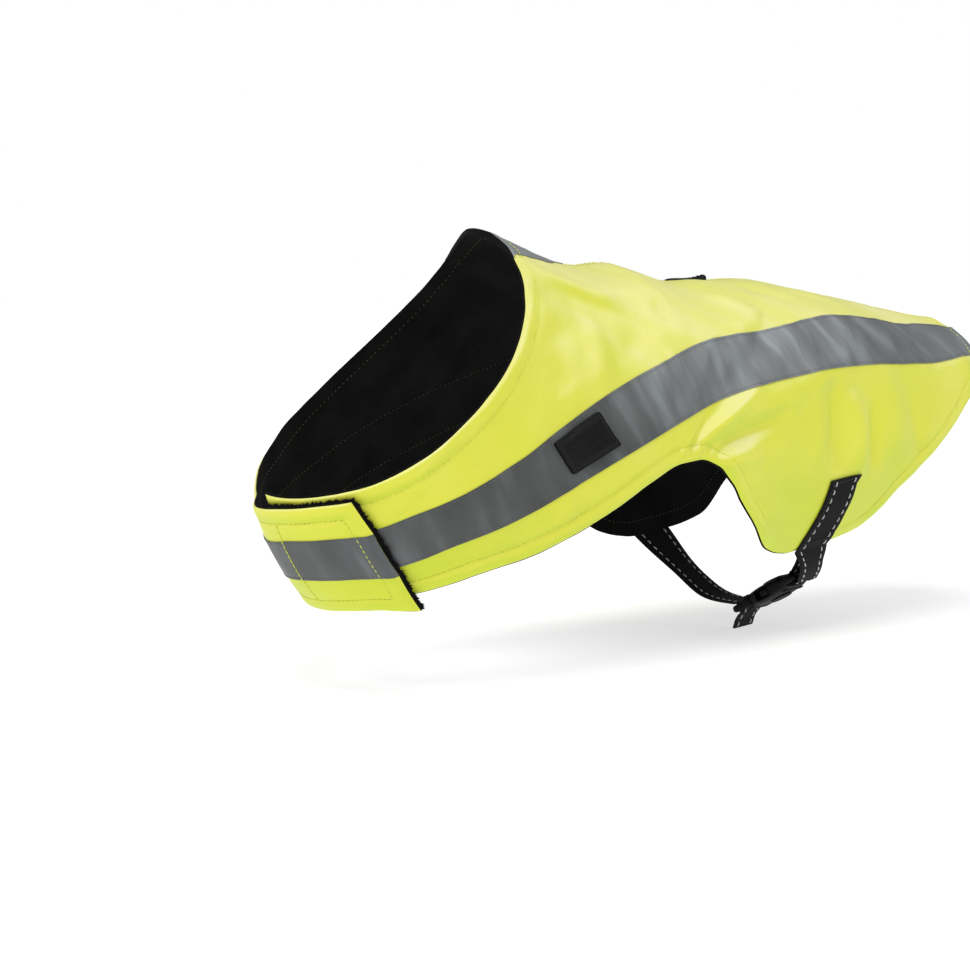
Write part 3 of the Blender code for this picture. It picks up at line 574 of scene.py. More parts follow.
def wall(name, base, normal, quads, low, high, finish, uv, sharp=50.0):
    """Closed thin sheet between two heights over its base."""
    heights = [np.broadcast_to(height, (len(base),)) for height in (low, high)]
    used, flat = np.unique(quads, return_inverse=True)
    quads = flat.reshape(quads.shape)
    base, normal, uv = base[used], normal[used], uv[used]
    a, b, c = (base[quads[:, k]] for k in (0, 1, 2))
    facing = np.einsum("ij,ij->i", np.cross(b - a, c - a), normal[quads[:, 0]])
    if np.sum(facing) < 0:
        quads = quads[:, ::-1]
    count = len(used)
    rim = boundary(quads)
    sides = np.stack([rim[:, 1] + count, rim[:, 0] + count, rim[:, 0], rim[:, 1]], axis=1)
    faces = (quads + count).tolist() + quads[:, ::-1].tolist() + sides.tolist()
    verts = np.concatenate([base + normal * height[used][:, None] for height in heights])
    return new_object(name, verts, faces, finish, np.concatenate([uv, uv]), sharp)


def finish_piece(thing, slot, *nodes):
    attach(thing, "root")
    if nodes:
        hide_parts(*nodes)
    return thing


def tube_faces(rows, sides, closed=False):
    """Faces between the rings of a tube, and over its ends unless it is a loop."""
    faces = []
    for i in range(rows if closed else rows - 1):
        low, high = i * sides, (i + 1) % rows * sides
        faces += [(low + k, low + (k + 1) % sides, high + (k + 1) % sides, high + k) for k in range(sides)]
    if not closed:
        faces += [tuple(range(sides))[::-1], tuple(range((rows - 1) * sides, rows * sides))]
    return faces


def inside_out(faces):
    return [face[::-1] for face in faces]


def sweep(path, ups, half_width, half_height, sides=16, power=2.6):
    """Rod with a rounded section along a path; its ends are closed."""
    after, before = np.roll(path, -1, axis=0), np.roll(path, 1, axis=0)
    after[-1], before[0] = path[-1], path[0]
    tangent = unit(after - before)
    across = unit(np.cross(tangent, ups))
    up = np.cross(across, tangent)
    c, s = rounded(np.arange(sides) * 2 * math.pi / sides, power)
    width, height = (np.broadcast_to(half, (len(path),))[:, None, None] for half in (half_width, half_height))
    verts = path[:, None] + across[:, None] * c[:, None] * width + up[:, None] * s[:, None] * height
    return verts.reshape(-1, 3), tube_faces(len(path), sides)


def join(parts):
    """One list of points and one of faces from several."""
    verts, faces, count = [], [], 0
    for more, more_faces in parts:
        verts.append(more)
        faces += [tuple(k + count for k in face) for face in more_faces]
        count += len(more)
    return np.concatenate(verts), faces


def stitches(name, runs, pitch, length, radius, finish, slot, seed, sides=6, sink=0.5):
    """Short threads, their ends dipping into the cloth, along each run of points and normals."""
    draws = np.random.default_rng(seed)
    rise = np.array([-sink, 0.30, 0.55, 0.30, -sink]) * radius + STITCH_LIFT
    girth = np.array([0.55, 0.95, 1.0, 0.95, 0.55]) * radius
    turns = np.arange(sides) * 2 * math.pi / sides
    faces = tube_faces(len(STITCH_BENDS), sides)
    parts = []
    for path, normals in runs:
        arc = arc_length(path)
        count = int(arc[-1] / pitch)
        if count < 1:
            continue
        centre = (np.arange(count) + 0.5) * arc[-1] / count
        centre = centre + draws.uniform(-STITCH_JITTER, STITCH_JITTER, count)
        at = np.clip(centre[:, None] + STITCH_BENDS * length, 0.0, arc[-1])
        place = sample(arc, path, at)
        tangent = unit(place[:, -1] - place[:, 0])[:, None]
        across = unit(np.cross(tangent, unit(sample(arc, normals, at))))
        up = unit(np.cross(across, tangent))
        place = place + up * rise[:, None]
        ring = across[:, :, None] * np.cos(turns)[:, None] + up[:, :, None] * np.sin(turns)[:, None]
        body = place[:, :, None] + ring * girth[:, None, None]
        parts += [(one.reshape(-1, 3), faces) for one in body]
    finish_piece(new_object(name, *join(parts), finish), slot)


def level_line(panel, level):
    """Runs of (u, v) along which the distance to the edge has one value."""
    field = panel.away.reshape(-1, len(panel.vs))
    above = field > level
    mixed = (above[:-1, :-1] != above[1:, :-1]) | (above[:-1, :-1] != above[:-1, 1:])
    mixed |= above[:-1, :-1] != above[1:, 1:]
    links = {}
    for i, j in zip(*np.nonzero(mixed & panel.valid)):
        corners = [(i, j), (i + 1, j), (i + 1, j + 1), (i, j + 1)]
        pairs = zip(corners, corners[1:] + corners[:1])
        cut = [(min(a, b), max(a, b)) for a, b in pairs if above[a] != above[b]]
        if len(cut) == 2:
            links.setdefault(cut[0], []).append(cut[1])
            links.setdefault(cut[1], []).append(cut[0])
    seen, runs = set(), []
    for start in sorted(links, key=lambda key: len(links[key])):
        if start in seen:
            continue
        chain = [start]
        seen.add(start)
        while True:
            after = [key for key in links[chain[-1]] if key not in seen]
            if not after:
                break
            chain.append(after[0])
            seen.add(after[0])
        if len(chain) < SHORTEST_RUN:
            continue
        spots = []
        for a, b in chain:
            t = (level - field[a]) / (field[b] - field[a])
            spots.append((panel.us[a[0]] * (1 - t) + panel.us[b[0]] * t,
                          panel.vs[a[1]] * (1 - t) + panel.vs[b[1]] * t))
        runs.append(smooth_run(np.array(spots)))
    return runs


def smooth_run(spots):
    for _ in range(3):
        spots[1:-1] = (spots[:-2] + 2 * spots[1:-1] + spots[2:]) / 4
    return spots


# Materials

def grey(level):
    return (level, level, level)


def dimmed(colour, share):
    return tuple(c * share for c in colour)


class Nodes:
    """Short hand for one material's nodes. A texture is handed on as its output socket."""

    def __init__(self, name, colour, roughness, **inputs):
        self.made = bpy.data.materials.new(name)
        self.made.use_nodes = True
        self.tree = self.made.node_tree
        self.shader = self.tree.nodes["Principled BSDF"]
        inputs.update(Base_Color=(*colour, 1.0), Roughness=roughness)
        for key, value in inputs.items():
            self.shader.inputs[key.replace("_", " ")].default_value = value
        self.place = self.add("TexCoord").outputs

    def add(self, kind, source=None, into=0, **settings):
        """Node with its settings and the values of its inputs, fed by source."""
        node = self.tree.nodes.new("ShaderNode" + kind)
        for key, value in settings.items():
            if hasattr(node, key):
                setattr(node, key, value)
            else:
                node.inputs[key.replace("_", " ")].default_value = value
        if source is not None:
            self.tree.links.new(source, node.inputs[into])
        return node

    def noise(self, scale, detail=3.0):
        return self.add("TexNoise", self.place["Object"], "Vector", Scale=scale, Detail=detail).outputs["Fac"]

    def bands(self, pitch, direction, distortion):
        """Waves across the cloth, a pitch in mm apart."""
        scale = 2 * math.pi / 20.0 / (pitch * MM)
        return self.add("TexWave", self.place["UV"], "Vector", wave_type="BANDS", bands_direction=direction,
                        Scale=scale, Distortion=distortion, Detail=1.0).outputs["Fac"]

    def weave(self, pitch, distortion):
        """Terms of a total for warp and weft."""
        return [(self.bands(pitch, direction, distortion), 0.5) for direction in "XY"]

    def total(self, *terms):
        """Weighted sum of textures, as (texture, weight)."""
        result = None
        for texture, weight in terms:
            node = self.add("Math", texture, operation="MULTIPLY_ADD")
            node.inputs[1].default_value = weight
            node.inputs[2].default_value = 0.0
            if result is not None:
                self.tree.links.new(result, node.inputs[2])
            result = node.outputs[0]
        return result

    def facing(self, toward, low, high):
        """Share by how far the cloth faces one fixed direction, used to paint light and shade by facing."""
        dot = self.add("VectorMath", self.place["Normal"], operation="DOT_PRODUCT")
        dot.inputs[1].default_value = toward
        share = self.add("MapRange", dot.outputs["Value"], "Value", From_Min=low, From_Max=high)
        return share.outputs["Result"]

    def ramp(self, texture, stops):
        """Colour along several stops, as (position, colour)."""
        node = self.add("ValToRGB", texture, "Fac")
        while len(node.color_ramp.elements) < len(stops):
            node.color_ramp.elements.new(0.5)
        for element, (position, colour) in zip(node.color_ramp.elements, stops):
            element.position = position
            element.color = (*colour, 1.0)
        return node.outputs["Color"]

    def streaks(self, stretch, turn, stops):
        """Light and dark streaks of a noise drawn out in one direction of the cloth."""
        mapping = self.add("Mapping", self.place["UV"], "Vector", Scale=stretch, Rotation=(0.0, 0.0, turn))
        noise = self.add("TexNoise", mapping.outputs["Vector"], "Vector", Scale=1.0, Detail=2.5)
        return self.ramp(noise.outputs["Fac"], stops)

    def product(self, colour, *others):
        """Base colour as a product of colours."""
        for other in others:
            node = self.add("Mix", colour, 6, data_type="RGBA", blend_type="MULTIPLY")
            node.inputs[0].default_value = 1.0
            self.tree.links.new(other, node.inputs[7])
            colour = node.outputs[2]
        self.tree.links.new(colour, self.shader.inputs["Base Color"])

    def tone(self, texture, low, high, span=(0.3, 0.7)):
        """Base colour between two colours by a texture."""
        self.product(self.ramp(texture, list(zip(span, (low, high)))))

    def gloss(self, texture, low, high):
        """Roughness between two values by a texture."""
        share = self.add("MapRange", texture, "Value", To_Min=low, To_Max=high)
        self.tree.links.new(share.outputs["Result"], self.shader.inputs["Roughness"])

    def bump(self, texture, distance, strength):
        node = self.add("Bump", texture, "Height", Distance=distance, Strength=strength)
        self.tree.links.new(node.outputs["Normal"], self.shader.inputs["Normal"])


def fluorescent():
    # The faint emission is a painted glow that stands in for the dye's fluorescence
    m = Nodes("fluorescent_cloth", (0.70, 0.74, 0.05), 0.5, Sheen_Weight=0.18, Sheen_Roughness=0.5,
              Sheen_Tint=(1.0, 1.0, 0.75, 1.0), Specular_IOR_Level=0.6,
              Emission_Color=(0.60, 0.70, 0.0, 1.0), Emission_Strength=0.04)
    # Painted light and shade by facing: faces turned up to the light are painted paler, faces turned down
    # greener and deeper
    painted_light_by_facing = m.ramp(m.facing(PAINTED_LIGHT_TOWARD, -0.4, 1.0),
                    [(0.10, (0.63, 0.71, 0.014)), (0.33, (0.770, 0.770, 0.050)),
                     (0.55, (0.735, 0.745, 0.060)), (0.72, (0.860, 0.830, 0.240)),
                     (1.0, (0.775, 0.770, 0.185))])
    cloud = m.ramp(m.noise(9.0, 4.0), [(0.3, (0.95, 0.965, 0.84)), (0.7, grey(1.0))])
    # Paler and deeper streaks drawn out along the cloth
    pale_and_deep_streaks = m.streaks((26.0, 9.0, 1.0), 0.6,
                     [(0.36, (0.97, 0.99, 0.82)), (0.50, grey(1.0)), (0.68, (1.03, 1.02, 1.55))])
    m.product(painted_light_by_facing, cloud, pale_and_deep_streaks)
    m.gloss(m.noise(30.0, 2.0), 0.40, 0.54)
    m.bump(m.total(*m.weave(0.75, 0.3), (m.noise(260.0), 0.5)), 0.00010, 0.55)
    return m.made


def black_cloth(name, pitch, colour):
    m = Nodes(name, colour, 0.85, Sheen_Weight=0.015, Sheen_Roughness=0.5, Specular_IOR_Level=0.08)
    m.tone(m.noise(45.0, 5.0), dimmed(colour, 0.6), dimmed(colour, 1.8))
    m.bump(m.total(*m.weave(pitch, 0.4), (m.noise(400.0, 2.0), 0.4)), 0.00016, 0.7)
    return m.made


def reflective():
    m = Nodes("reflective_tape", (0.135, 0.145, 0.150), 0.5, Specular_IOR_Level=0.35, Coat_Weight=0.05,
              Coat_Roughness=0.4)
    # Painted light along the tape's length: darker at the chest, brightest over the back, a little darker
    # again near the rear hem
    split = m.add("SeparateXYZ", m.place["UV"], "Vector")
    length = m.add("MapRange", split.outputs["X"], "Value", From_Max=0.45)
    along = m.ramp(length.outputs["Result"],
                   [(0.0, (0.135, 0.147, 0.150)), (0.13, (0.120, 0.131, 0.133)),
                    (0.20, (0.100, 0.109, 0.107)), (0.40, (0.100, 0.109, 0.107)),
                    (0.53, (0.235, 0.255, 0.257)), (0.73, (0.245, 0.264, 0.275)),
                    (0.90, (0.155, 0.169, 0.177))])
    # Painted light: the tape is painted brighter where it faces up toward the light
    painted_tape_light = m.ramp(m.facing(TAPE_PAINTED_LIGHT_TOWARD, 0.15, 0.85),
                   [(0.0, grey(0.80)), (0.5, grey(0.93)), (1.0, grey(1.0))])
    # Painted shade and highlights of creases, as dark and bright streaks drawn across the tape
    painted_crease_shade_and_highlight = m.streaks((70.0, 16.0, 1.0), 0.45,
                        [(0.36, grey(0.70)), (0.52, grey(0.92)), (0.66, (1.35, 1.36, 1.38))])
    m.product(along, painted_tape_light, painted_crease_shade_and_highlight)
    m.gloss(m.noise(55.0), 0.38, 0.52)
    beads = m.add("TexVoronoi", m.place["UV"], "Vector", Scale=1500.0)
    m.bump(m.total((beads.outputs["Distance"], 0.6), (m.noise(160.0, 4.0), 1.0)), 0.00012, 0.45)
    return m.made


def pile():
    m = Nodes("hook_and_loop_pile", grey(0.004), 0.95, Sheen_Weight=0.03, Sheen_Roughness=0.6,
              Specular_IOR_Level=0.05)
    m.tone(m.noise(900.0), grey(0.002), grey(0.010))
    m.bump(m.noise(1500.0, 4.0), 0.0006, 1.0)
    return m.made


def webbing():
    m = Nodes("black_webbing", grey(0.006), 0.75, Sheen_Weight=0.02, Sheen_Roughness=0.4,
              Specular_IOR_Level=0.12)
    ribs = m.bands(1.3, "X", 0.6)
    cords = m.bands(2.1, "Y", 0.4)
    m.tone(ribs, grey(0.004), grey(0.008), (0.1, 0.9))
    m.bump(m.total((ribs, 0.7), (cords, 0.3), (m.noise(700.0), 0.3)), 0.0002, 0.6)
    return m.made


def thread(name, colour, roughness=0.6):
    m = Nodes(name, colour, roughness, Sheen_Weight=0.3, Sheen_Roughness=0.4)
    m.tone(m.noise(300.0, 2.0), dimmed(colour, 0.8), colour)
    m.bump(m.noise(2600.0, 2.0), 0.00008, 0.8)
    return m.made


def plastic():
    m = Nodes("black_plastic", grey(0.005), 0.50, Specular_IOR_Level=0.10)
    m.gloss(m.noise(70.0, 4.0), 0.44, 0.58)
    m.tone(m.noise(25.0), grey(0.003), grey(0.006))
    m.bump(m.noise(1100.0, 2.0), 0.00005, 0.5)
    return m.made


def rubber():
    m = Nodes("black_rubber", grey(0.004), 0.5, Specular_IOR_Level=0.16)
    m.gloss(m.noise(90.0), 0.42, 0.60)
    m.tone(m.noise(40.0, 4.0), grey(0.003), grey(0.006))
    m.bump(m.noise(1400.0, 2.0), 0.00006, 0.6)
    return m.made


def floor_finish():
    m = Nodes("pale_floor", grey(0.60), 0.9, Specular_IOR_Level=0.0,
              Emission_Color=(1.0, 1.0, 1.0, 1.0), Emission_Strength=FLOOR_GLOW)
    m.tone(m.noise(3.0), grey(0.59), grey(0.61))
    return m.made


YELLOW = fluorescent()
BLACK = black_cloth("black_cloth", 0.8, (0.0045, 0.0045, 0.0042))
BINDING = black_cloth("black_binding", 1.0, grey(0.006))
GREY = reflective()
PILE = pile()
WEB = webbing()
PLASTIC = plastic()
RUBBER = rubber()
YELLOW_THREAD = thread("yellow_thread", (0.74, 0.79, 0.075))
SHADED_THREAD = thread("shaded_yellow_thread", (0.10, 0.12, 0.03))
GREY_THREAD = thread("grey_thread", (0.14, 0.15, 0.15))
BLACK_THREAD = thread("black_thread", grey(0.010))
WHITE_THREAD = thread("reflective_thread", (0.55, 0.56, 0.56), 0.4)
# Darkened yellow dots of painted shade that stand for the shaded needle holes
PAINTED_HOLE_SHADE = thread("painted_needle_hole_shade", (0.16, 0.19, 0.02), 0.9)


# Cloth and tapes

def grow_edge(panel, amount):
    """The half's points, with its outline moved outward in the cloth."""
    rows = len(panel.vs)
    on_edge = np.unique(panel.outline)
    inside = np.zeros(len(panel.point), bool)
    inside[np.unique(panel.quads)] = True
    inside[on_edge] = False
    inside = inside.reshape(-1, rows)
    points = panel.point.reshape(-1, rows, 3)
    grown = points.copy()
    straight = ((1, 0), (-1, 0), (0, 1), (0, -1))
    diagonal = ((1, 1), (-1, 1), (1, -1), (-1, -1))
    for i, j in zip(*np.divmod(on_edge, rows)):
        for ways in (straight, diagonal):
            push = np.zeros(3)
            for a, b in ((i + di, j + dj) for di, dj in ways):
                if 0 <= a < len(panel.us) and 0 <= b < rows and inside[a, b]:
                    push += unit(points[i, j] - points[a, b])
            if np.linalg.norm(push) > TINY:
                grown[i, j] += unit(push) * amount
                break
    return grown.reshape(-1, 3)


def build_half(panel):
    """Shell, lining and side tape of one half, with the shell turned down into the centre seam."""
    from_seam = np.where(panel.vv < 1.0, np.abs(panel.point[:, 0]), 99.0)
    shape = hem_shape(panel.away) - SEAM_GROOVE * np.exp(-(from_seam / SEAM_GROOVE_WIDTH) ** 2)
    uv = np.stack([panel.uu, panel.vv * ZONE_WIDTH], axis=-1)
    shell = wall("shell_cloth_" + panel.word, panel.point, panel.normal, panel.quads,
                 SHELL_LAYER[0], SHELL_LAYER[1] + shape, YELLOW, uv)
    finish_piece(shell, "shell", "shell_" + panel.word)
    roll = edge_drop(panel.away, LINING_ROLL_RADIUS)
    lining = wall("lining_cloth_" + panel.word, grow_edge(panel, LINING_GROWTH), panel.normal, panel.quads,
                  LINING_LAYER[0] + 0.3 * roll, LINING_LAYER[1] - 0.2 * roll, BLACK, uv)
    finish_piece(lining, "lining", "lining_" + panel.word)
    between_edges = (panel.vs[:-1] >= 2.0 - TINY) & (panel.vs[:-1] < 3.0 - TINY)
    cells = panel.cells(between_edges & (panel.us[:-1, None] >= panel.tape_start - TINY))
    tape = wall("side_tape_cloth_" + panel.word, panel.point, panel.normal, cells,
                TAPE_LAYER[0] + shape, TAPE_LAYER[1] + shape, GREY, uv)
    finish_piece(tape, "reflective_tape", "side_tape_" + panel.word)
    return shell, lining, tape


def build_nape_tape(left, right):
    """Grey tape over the front of the centre seam, which covers the shell's edge at the neck."""
    last = left.station(NAPE_TAPE_END_STATION)
    us = left.us[(left.us >= left.nape - TINY) & (left.us <= last + TINY)] - left.nape
    vs = left.vs[left.vs <= 1.0 + TINY]
    uu, vv = grid(us, vs)
    count, cols = len(uu), len(vs)
    halves = []
    for panel in (left, right):
        point, normal = panel.surface(uu + panel.nape, vv)
        halves.append((point, normal, hem_shape(panel.edge_distance(point))))
    point, normal, shape = (np.concatenate(pair) for pair in zip(*halves))
    middle = np.nonzero(vv < TINY)[0]
    point[middle, 0] = 0.0
    normal[middle, 0] = 0.0
    normal = unit(normal)
    index = np.arange(2 * count)
    index[count + middle] = middle
    quads = grid_quads(len(us), cols)
    quads = np.concatenate([index[quads], index[quads + count][:, ::-1]])
    uv = np.stack([np.tile(uu, 2) + NAPE_SHADE_AT, np.concatenate([vv, -vv]) * 25.0], axis=-1)
    low = TAPE_LAYER[0] + shape
    for k in (0, count):
        low[k:k + cols] = LINING_LAYER[1]
        point[k:k + cols] += unit(point[k:k + cols] - point[k + cols:k + 2 * cols]) * NAPE_TURN
    tape = wall("nape_tape_cloth", point, normal, quads, low, TAPE_LAYER[1] + shape, GREY, uv)
    return finish_piece(tape, "reflective_tape", "nape_tape")


def build_nape_binding(left, right):
    """Black binding over the neck edge in front of the nape tape, tapered at its ends."""
    v = np.linspace(0.0, 1.0, 30)
    path, ups = [], []
    for panel, order in ((left, v[::-1]), (right, v[1:])):
        point, normal = panel.surface(np.full(len(order), panel.nape), order)
        inner, _ = panel.surface(np.full(len(order), panel.nape + 2.0), order)
        point[:, 0] = np.where(order < TINY, 0.0, point[:, 0])
        path.append(point + normal * 1.15 + unit(point - inner) * 0.8)
        ups.append(normal)
    path = np.concatenate(path)
    place = np.arange(len(path))
    taper = smoothstep(-3.0, 9.0, np.minimum(place, place[::-1]).astype(float))
    rod = sweep(path, np.concatenate(ups), 0.6 * taper, 0.35 + 1.4 * taper)
    finish_piece(new_object("nape_binding", *rod, BINDING), "lining")


# Sewing

def seam_run(panel, u, aside):
    """Values of v that lie one distance from the spine seam."""
    shares = np.linspace(0.0, 1.0, 25)
    point, _ = panel.surface(*grid(u, shares))
    rows = point.reshape(len(u), len(shares), 3)
    reach = np.linalg.norm(rows - rows[:, :1], axis=-1)
    return np.array([np.interp(aside, row, shares) for row in reach])


def sew(panel, name, seams, top, bobbin, finish, slot, seed):
    """Topstitching along seams of a half, and its bobbin threads on the lining's face.
    top and bobbin are the length and radius of a thread."""
    stitches(name + "_stitches_" + panel.word, [panel.skin(u, v) for u, v in seams], STITCH_PITCH, *top,
             finish, slot, seed)
    backs = []
    for u, v in seams:
        point, normal = panel.surface(u, v)
        backs.append((point + normal * BOBBIN_LIFT, -normal))
    stitches(name + "_bobbin_" + panel.word, backs, STITCH_PITCH, *bobbin, SHADED_THREAD, "lining", seed + 1)


def build_sewing(panel):
    """The hem, the side tape's edges, and the centre seam before and behind the leash slot."""
    hems = [run.T for run in level_line(panel, HEM)]
    sew(panel, "hem", hems, (2.8, 0.26), (1.1, 0.18), YELLOW_THREAD, "shell", 3)
    u = np.linspace(panel.tape_start + 1.0, panel.us[-1] - 1.0, 700)
    edges = [(u, np.full(len(u), v)) for v in TAPE_STITCH_ROWS]
    sew(panel, "tape", edges, (2.4, 0.13), (1.0, 0.16), GREY_THREAD, "reflective_tape", 5)
    slot_front, slot_rear = (panel.station(SLOT_STATIONS[k]) for k in (0, 2))
    seams = []
    for start, end in ((panel.station(NAPE_TAPE_END_STATION) + 1.0, slot_front - 5.0),
                       (slot_rear + 5.0, panel.us[-1] - HEM)):
        u = np.linspace(start, end, 260)
        seams.append((u, seam_run(panel, u, SPINE_SEAM_STITCH)))
    sew(panel, "spine", seams, (2.5, 0.24), (1.3, 0.18), YELLOW_THREAD, "shell", 10)


def build_closure_stitches(panel):
    """The line that closes the rectangle of stitches on the lapped end, and dark dots of painted shade for
    the needle holes round it.
    """
    v = np.linspace(1.0, 4.0, 160)
    u = np.full(len(v), CLOSURE_LINE)
    point, _ = panel.surface(u, v)
    inside = panel.edge_distance(point) > HEM
    line = panel.skin(u[inside], v[inside])
    stitches("closure_stitches", [line], CLOSURE_PITCH, 2.7, 0.3, YELLOW_THREAD, "shell", 8)
    near = [run[run[:, 0] < CLOSURE_LINE + 1.0] for run in level_line(panel, HEM)]
    runs = [panel.skin(*run.T) for run in near if len(run) > 5] + [line]
    stitches("closure_painted_hole_shade", runs, CLOSURE_PITCH, 0.45, 0.24, PAINTED_HOLE_SHADE, "shell", 9)


# Closure, label and leash slot

def build_pile(name, panel, u_range, v_range, heights, out, node, seed):
    """Hook or loop layer with an uneven face and loose fibres at its edges."""
    draws = np.random.default_rng(seed)
    rows, cols = PILE_GRID
    uu, vv = grid(np.linspace(*u_range, rows), np.linspace(*v_range, cols))
    point, normal = panel.surface(uu, vv)
    point, normal = point.reshape(rows, cols, 3), normal.reshape(rows, cols, 3)
    edge = np.zeros_like(point)
    edge[:, 0] += unit(point[:, 0] - point[:, 1]) * out[0]
    edge[:, -1] += unit(point[:, -1] - point[:, -2]) * out[1]
    edge[0] += unit(point[0] - point[1]) * out[2]
    base = point + edge * draws.uniform(0.55, 1.3, (rows, cols))[..., None]
    low = heights[0] + draws.uniform(0.0, 0.3, rows * cols)
    high = heights[1] - draws.uniform(0.0, 0.3, rows * cols)
    layer = wall(name, base.reshape(-1, 3), normal.reshape(-1, 3), grid_quads(rows, cols), low, high, PILE,
                 np.stack([uu, vv * 20], axis=-1), 80.0)
    finish_piece(layer, "hook_and_loop", node)
    rim = [(0, k) for k in range(cols)] + [(k, 0) for k in range(rows)] + [(k, cols - 1) for k in range(rows)]
    middle = base.reshape(-1, 3).mean(axis=0)
    verts, faces = [], []
    for _ in range(PILE_FIBRES):
        spot = rim[draws.integers(len(rim))]
        up = normal[spot]
        root = base[spot] + up * draws.uniform(*heights) + draws.normal(0, 0.35, 3)
        away = unit(base[spot] - middle) + draws.normal(0, 0.7, 3) + up * draws.normal(0, 0.5)
        tip = root + unit(away) * draws.uniform(0.25, 0.65)
        bend = (root + tip) / 2 + draws.normal(0, 0.10, 3)
        across = unit(np.cross(away, up + 0.01)) * FIBRE_WIDTH
        rise = up * FIBRE_WIDTH
        n = len(verts)
        verts += [root - across, root + across, root + rise, bend - across, bend + across, bend + rise, tip]
        faces += [(n, n + 1, n + 4, n + 3), (n + 1, n + 2, n + 5, n + 4), (n + 2, n, n + 3, n + 5)]
        faces += [(n + 3, n + 4, n + 6), (n + 4, n + 5, n + 6), (n + 5, n + 3, n + 6), (n + 2, n + 1, n)]
    finish_piece(new_object(name + "_fibres", np.array(verts), faces, PILE), "hook_and_loop")
    return layer


def build_label(panel):
    """Rubber label with a raised rim, a stitched groove and a plain ribbed field."""
    ends = np.array([(panel.station(LABEL_STATION + k), LABEL_ROWS[k]) for k in (0, 1)])

    def on_tape(spot):
        return panel.surface(*(ends.mean(axis=0) + (ends[1] - ends[0]) / 2 * spot / LABEL_SIZE).T)

    core = LABEL_SIZE - LABEL_CORNER
    spot = np.stack(grid(*(np.linspace(-1.0, 1.0, n) for n in LABEL_GRID)), axis=-1) * LABEL_SIZE
    over = np.clip(np.abs(spot) - core, 0.0, None)
    at_corner = (over > 0).all(axis=-1)
    reach = np.linalg.norm(over, axis=-1)
    pull = np.where(at_corner & (reach > LABEL_CORNER), LABEL_CORNER / np.maximum(reach, TINY), 1.0)[:, None]
    spot = np.sign(spot) * np.where(pull < 1.0, core + over * pull, np.abs(spot))
    inner = (LABEL_SIZE - np.abs(spot)).min(axis=-1)
    turned = LABEL_CORNER - np.linalg.norm(np.clip(np.abs(spot) - core, 0.0, None), axis=-1)
    inner = np.clip(np.where(at_corner, np.minimum(inner, turned), inner), 0.0, None)
    edge = LABEL_EDGE * edge_drop(inner, LABEL_EDGE)
    groove = 0.55 * np.exp(-((inner - LABEL_GROOVE_AT) / 0.42) ** 2)
    step = 0.5 * smoothstep(3.1, 3.5, inner)
    ribs = 0.14 + 0.16 * np.cos(spot.sum(axis=-1) * 2 * math.pi / LABEL_RIB_PITCH)
    high = LABEL_HIGH - edge - groove - step + ribs * smoothstep(4.3, 4.7, inner)
    label = wall("rubber_patch", *on_tape(spot), grid_quads(*LABEL_GRID), LABEL_LOW, high, RUBBER, spot, 60.0)
    finish_piece(label, "label", "rubber_label")
    corners = np.array([(-1, -1), (1, -1), (1, 1), (-1, 1), (-1, -1)]) * (LABEL_SIZE - LABEL_GROOVE_AT)
    share = np.linspace(0.0, 1.0, 60)[:, None]
    line = np.concatenate([a + (b - a) * share for a, b in zip(corners, corners[1:])])
    point, normal = on_tape(line)
    stitches("label_stitches", [(point + normal * LABEL_STITCH_HEIGHT, normal)], 2.3, 1.8, 0.2, BLACK_THREAD,
             "label", 12)


def build_slot_trim(left):
    """Oval binding round the leash slot, raised at its rear tip, with its own stitches."""
    ends = [left.station(SLOT_STATIONS[k]) for k in (0, 2)]
    u = np.linspace(ends[0] - 9.0, ends[1] + 9.0, 90)
    spine, normals = left.surface(u, np.zeros(len(u)))
    spine[:, 0] = 0.0
    normals[:, 0] = 0.0
    arc = arc_length(spine)
    start, stop = np.interp(ends, u, arc)
    half = (stop - start) / 2

    def on_spine(turn, out, up):
        run = np.sin(turn) * (half + out) + (start + stop) / 2
        normal = unit(sample(arc, unit(normals), run))
        place = sample(arc, spine, run) + normal * up[:, None]
        place[:, 0] += np.cos(turn) * (SLOT_HALF_WIDTH + out)
        return place, normal

    def tip(turn):
        return SLOT_TIP_LIFT * np.maximum(0.0, np.sin(turn)) ** 2.5

    turns, sides = SLOT_RING
    k, n = grid(np.arange(turns), np.arange(sides))
    turn = 2 * math.pi * k / turns
    aside, rise = rounded(2 * math.pi * n / sides, 2.5)
    front = 0.15 * np.minimum(0.0, np.sin(turn))
    up = SLOT_HEIGHT + 0.55 * rise + 0.06 * np.cos(turn * 40) + front + tip(turn) * (0.5 + 0.5 * rise)
    verts, _ = on_spine(turn, SLOT_MIDDLE + 1.45 * aside, up)
    uv = np.stack([k * 0.7, n * 0.5], axis=-1)
    faces = inside_out(tube_faces(turns, sides, closed=True))
    trim = new_object("slot_binding", verts, faces, BINDING, uv, 80.0)
    finish_piece(trim, "lining", "slot_trim")
    turn = np.linspace(0.0, 2 * math.pi, 200)
    lift = SLOT_HEIGHT + SLOT_STITCH_UP + tip(turn) + 0.15 * np.minimum(0.0, np.sin(turn))
    path, normal = on_spine(turn, SLOT_STITCH_OUT, lift)
    stitches("slot_stitches", [(path, np.tile(normal[-1], (len(path), 1)))], 2.6, 2.0, 0.2, BLACK_THREAD,
             "lining", 13)


# Belt

def buckle_axes():
    axis = BUCKLE_AXIS / np.linalg.norm(BUCKLE_AXIS)
    outward = unit(BUCKLE_OUTWARD - axis * (BUCKLE_OUTWARD @ axis))
    return np.cross(axis, outward), axis, outward


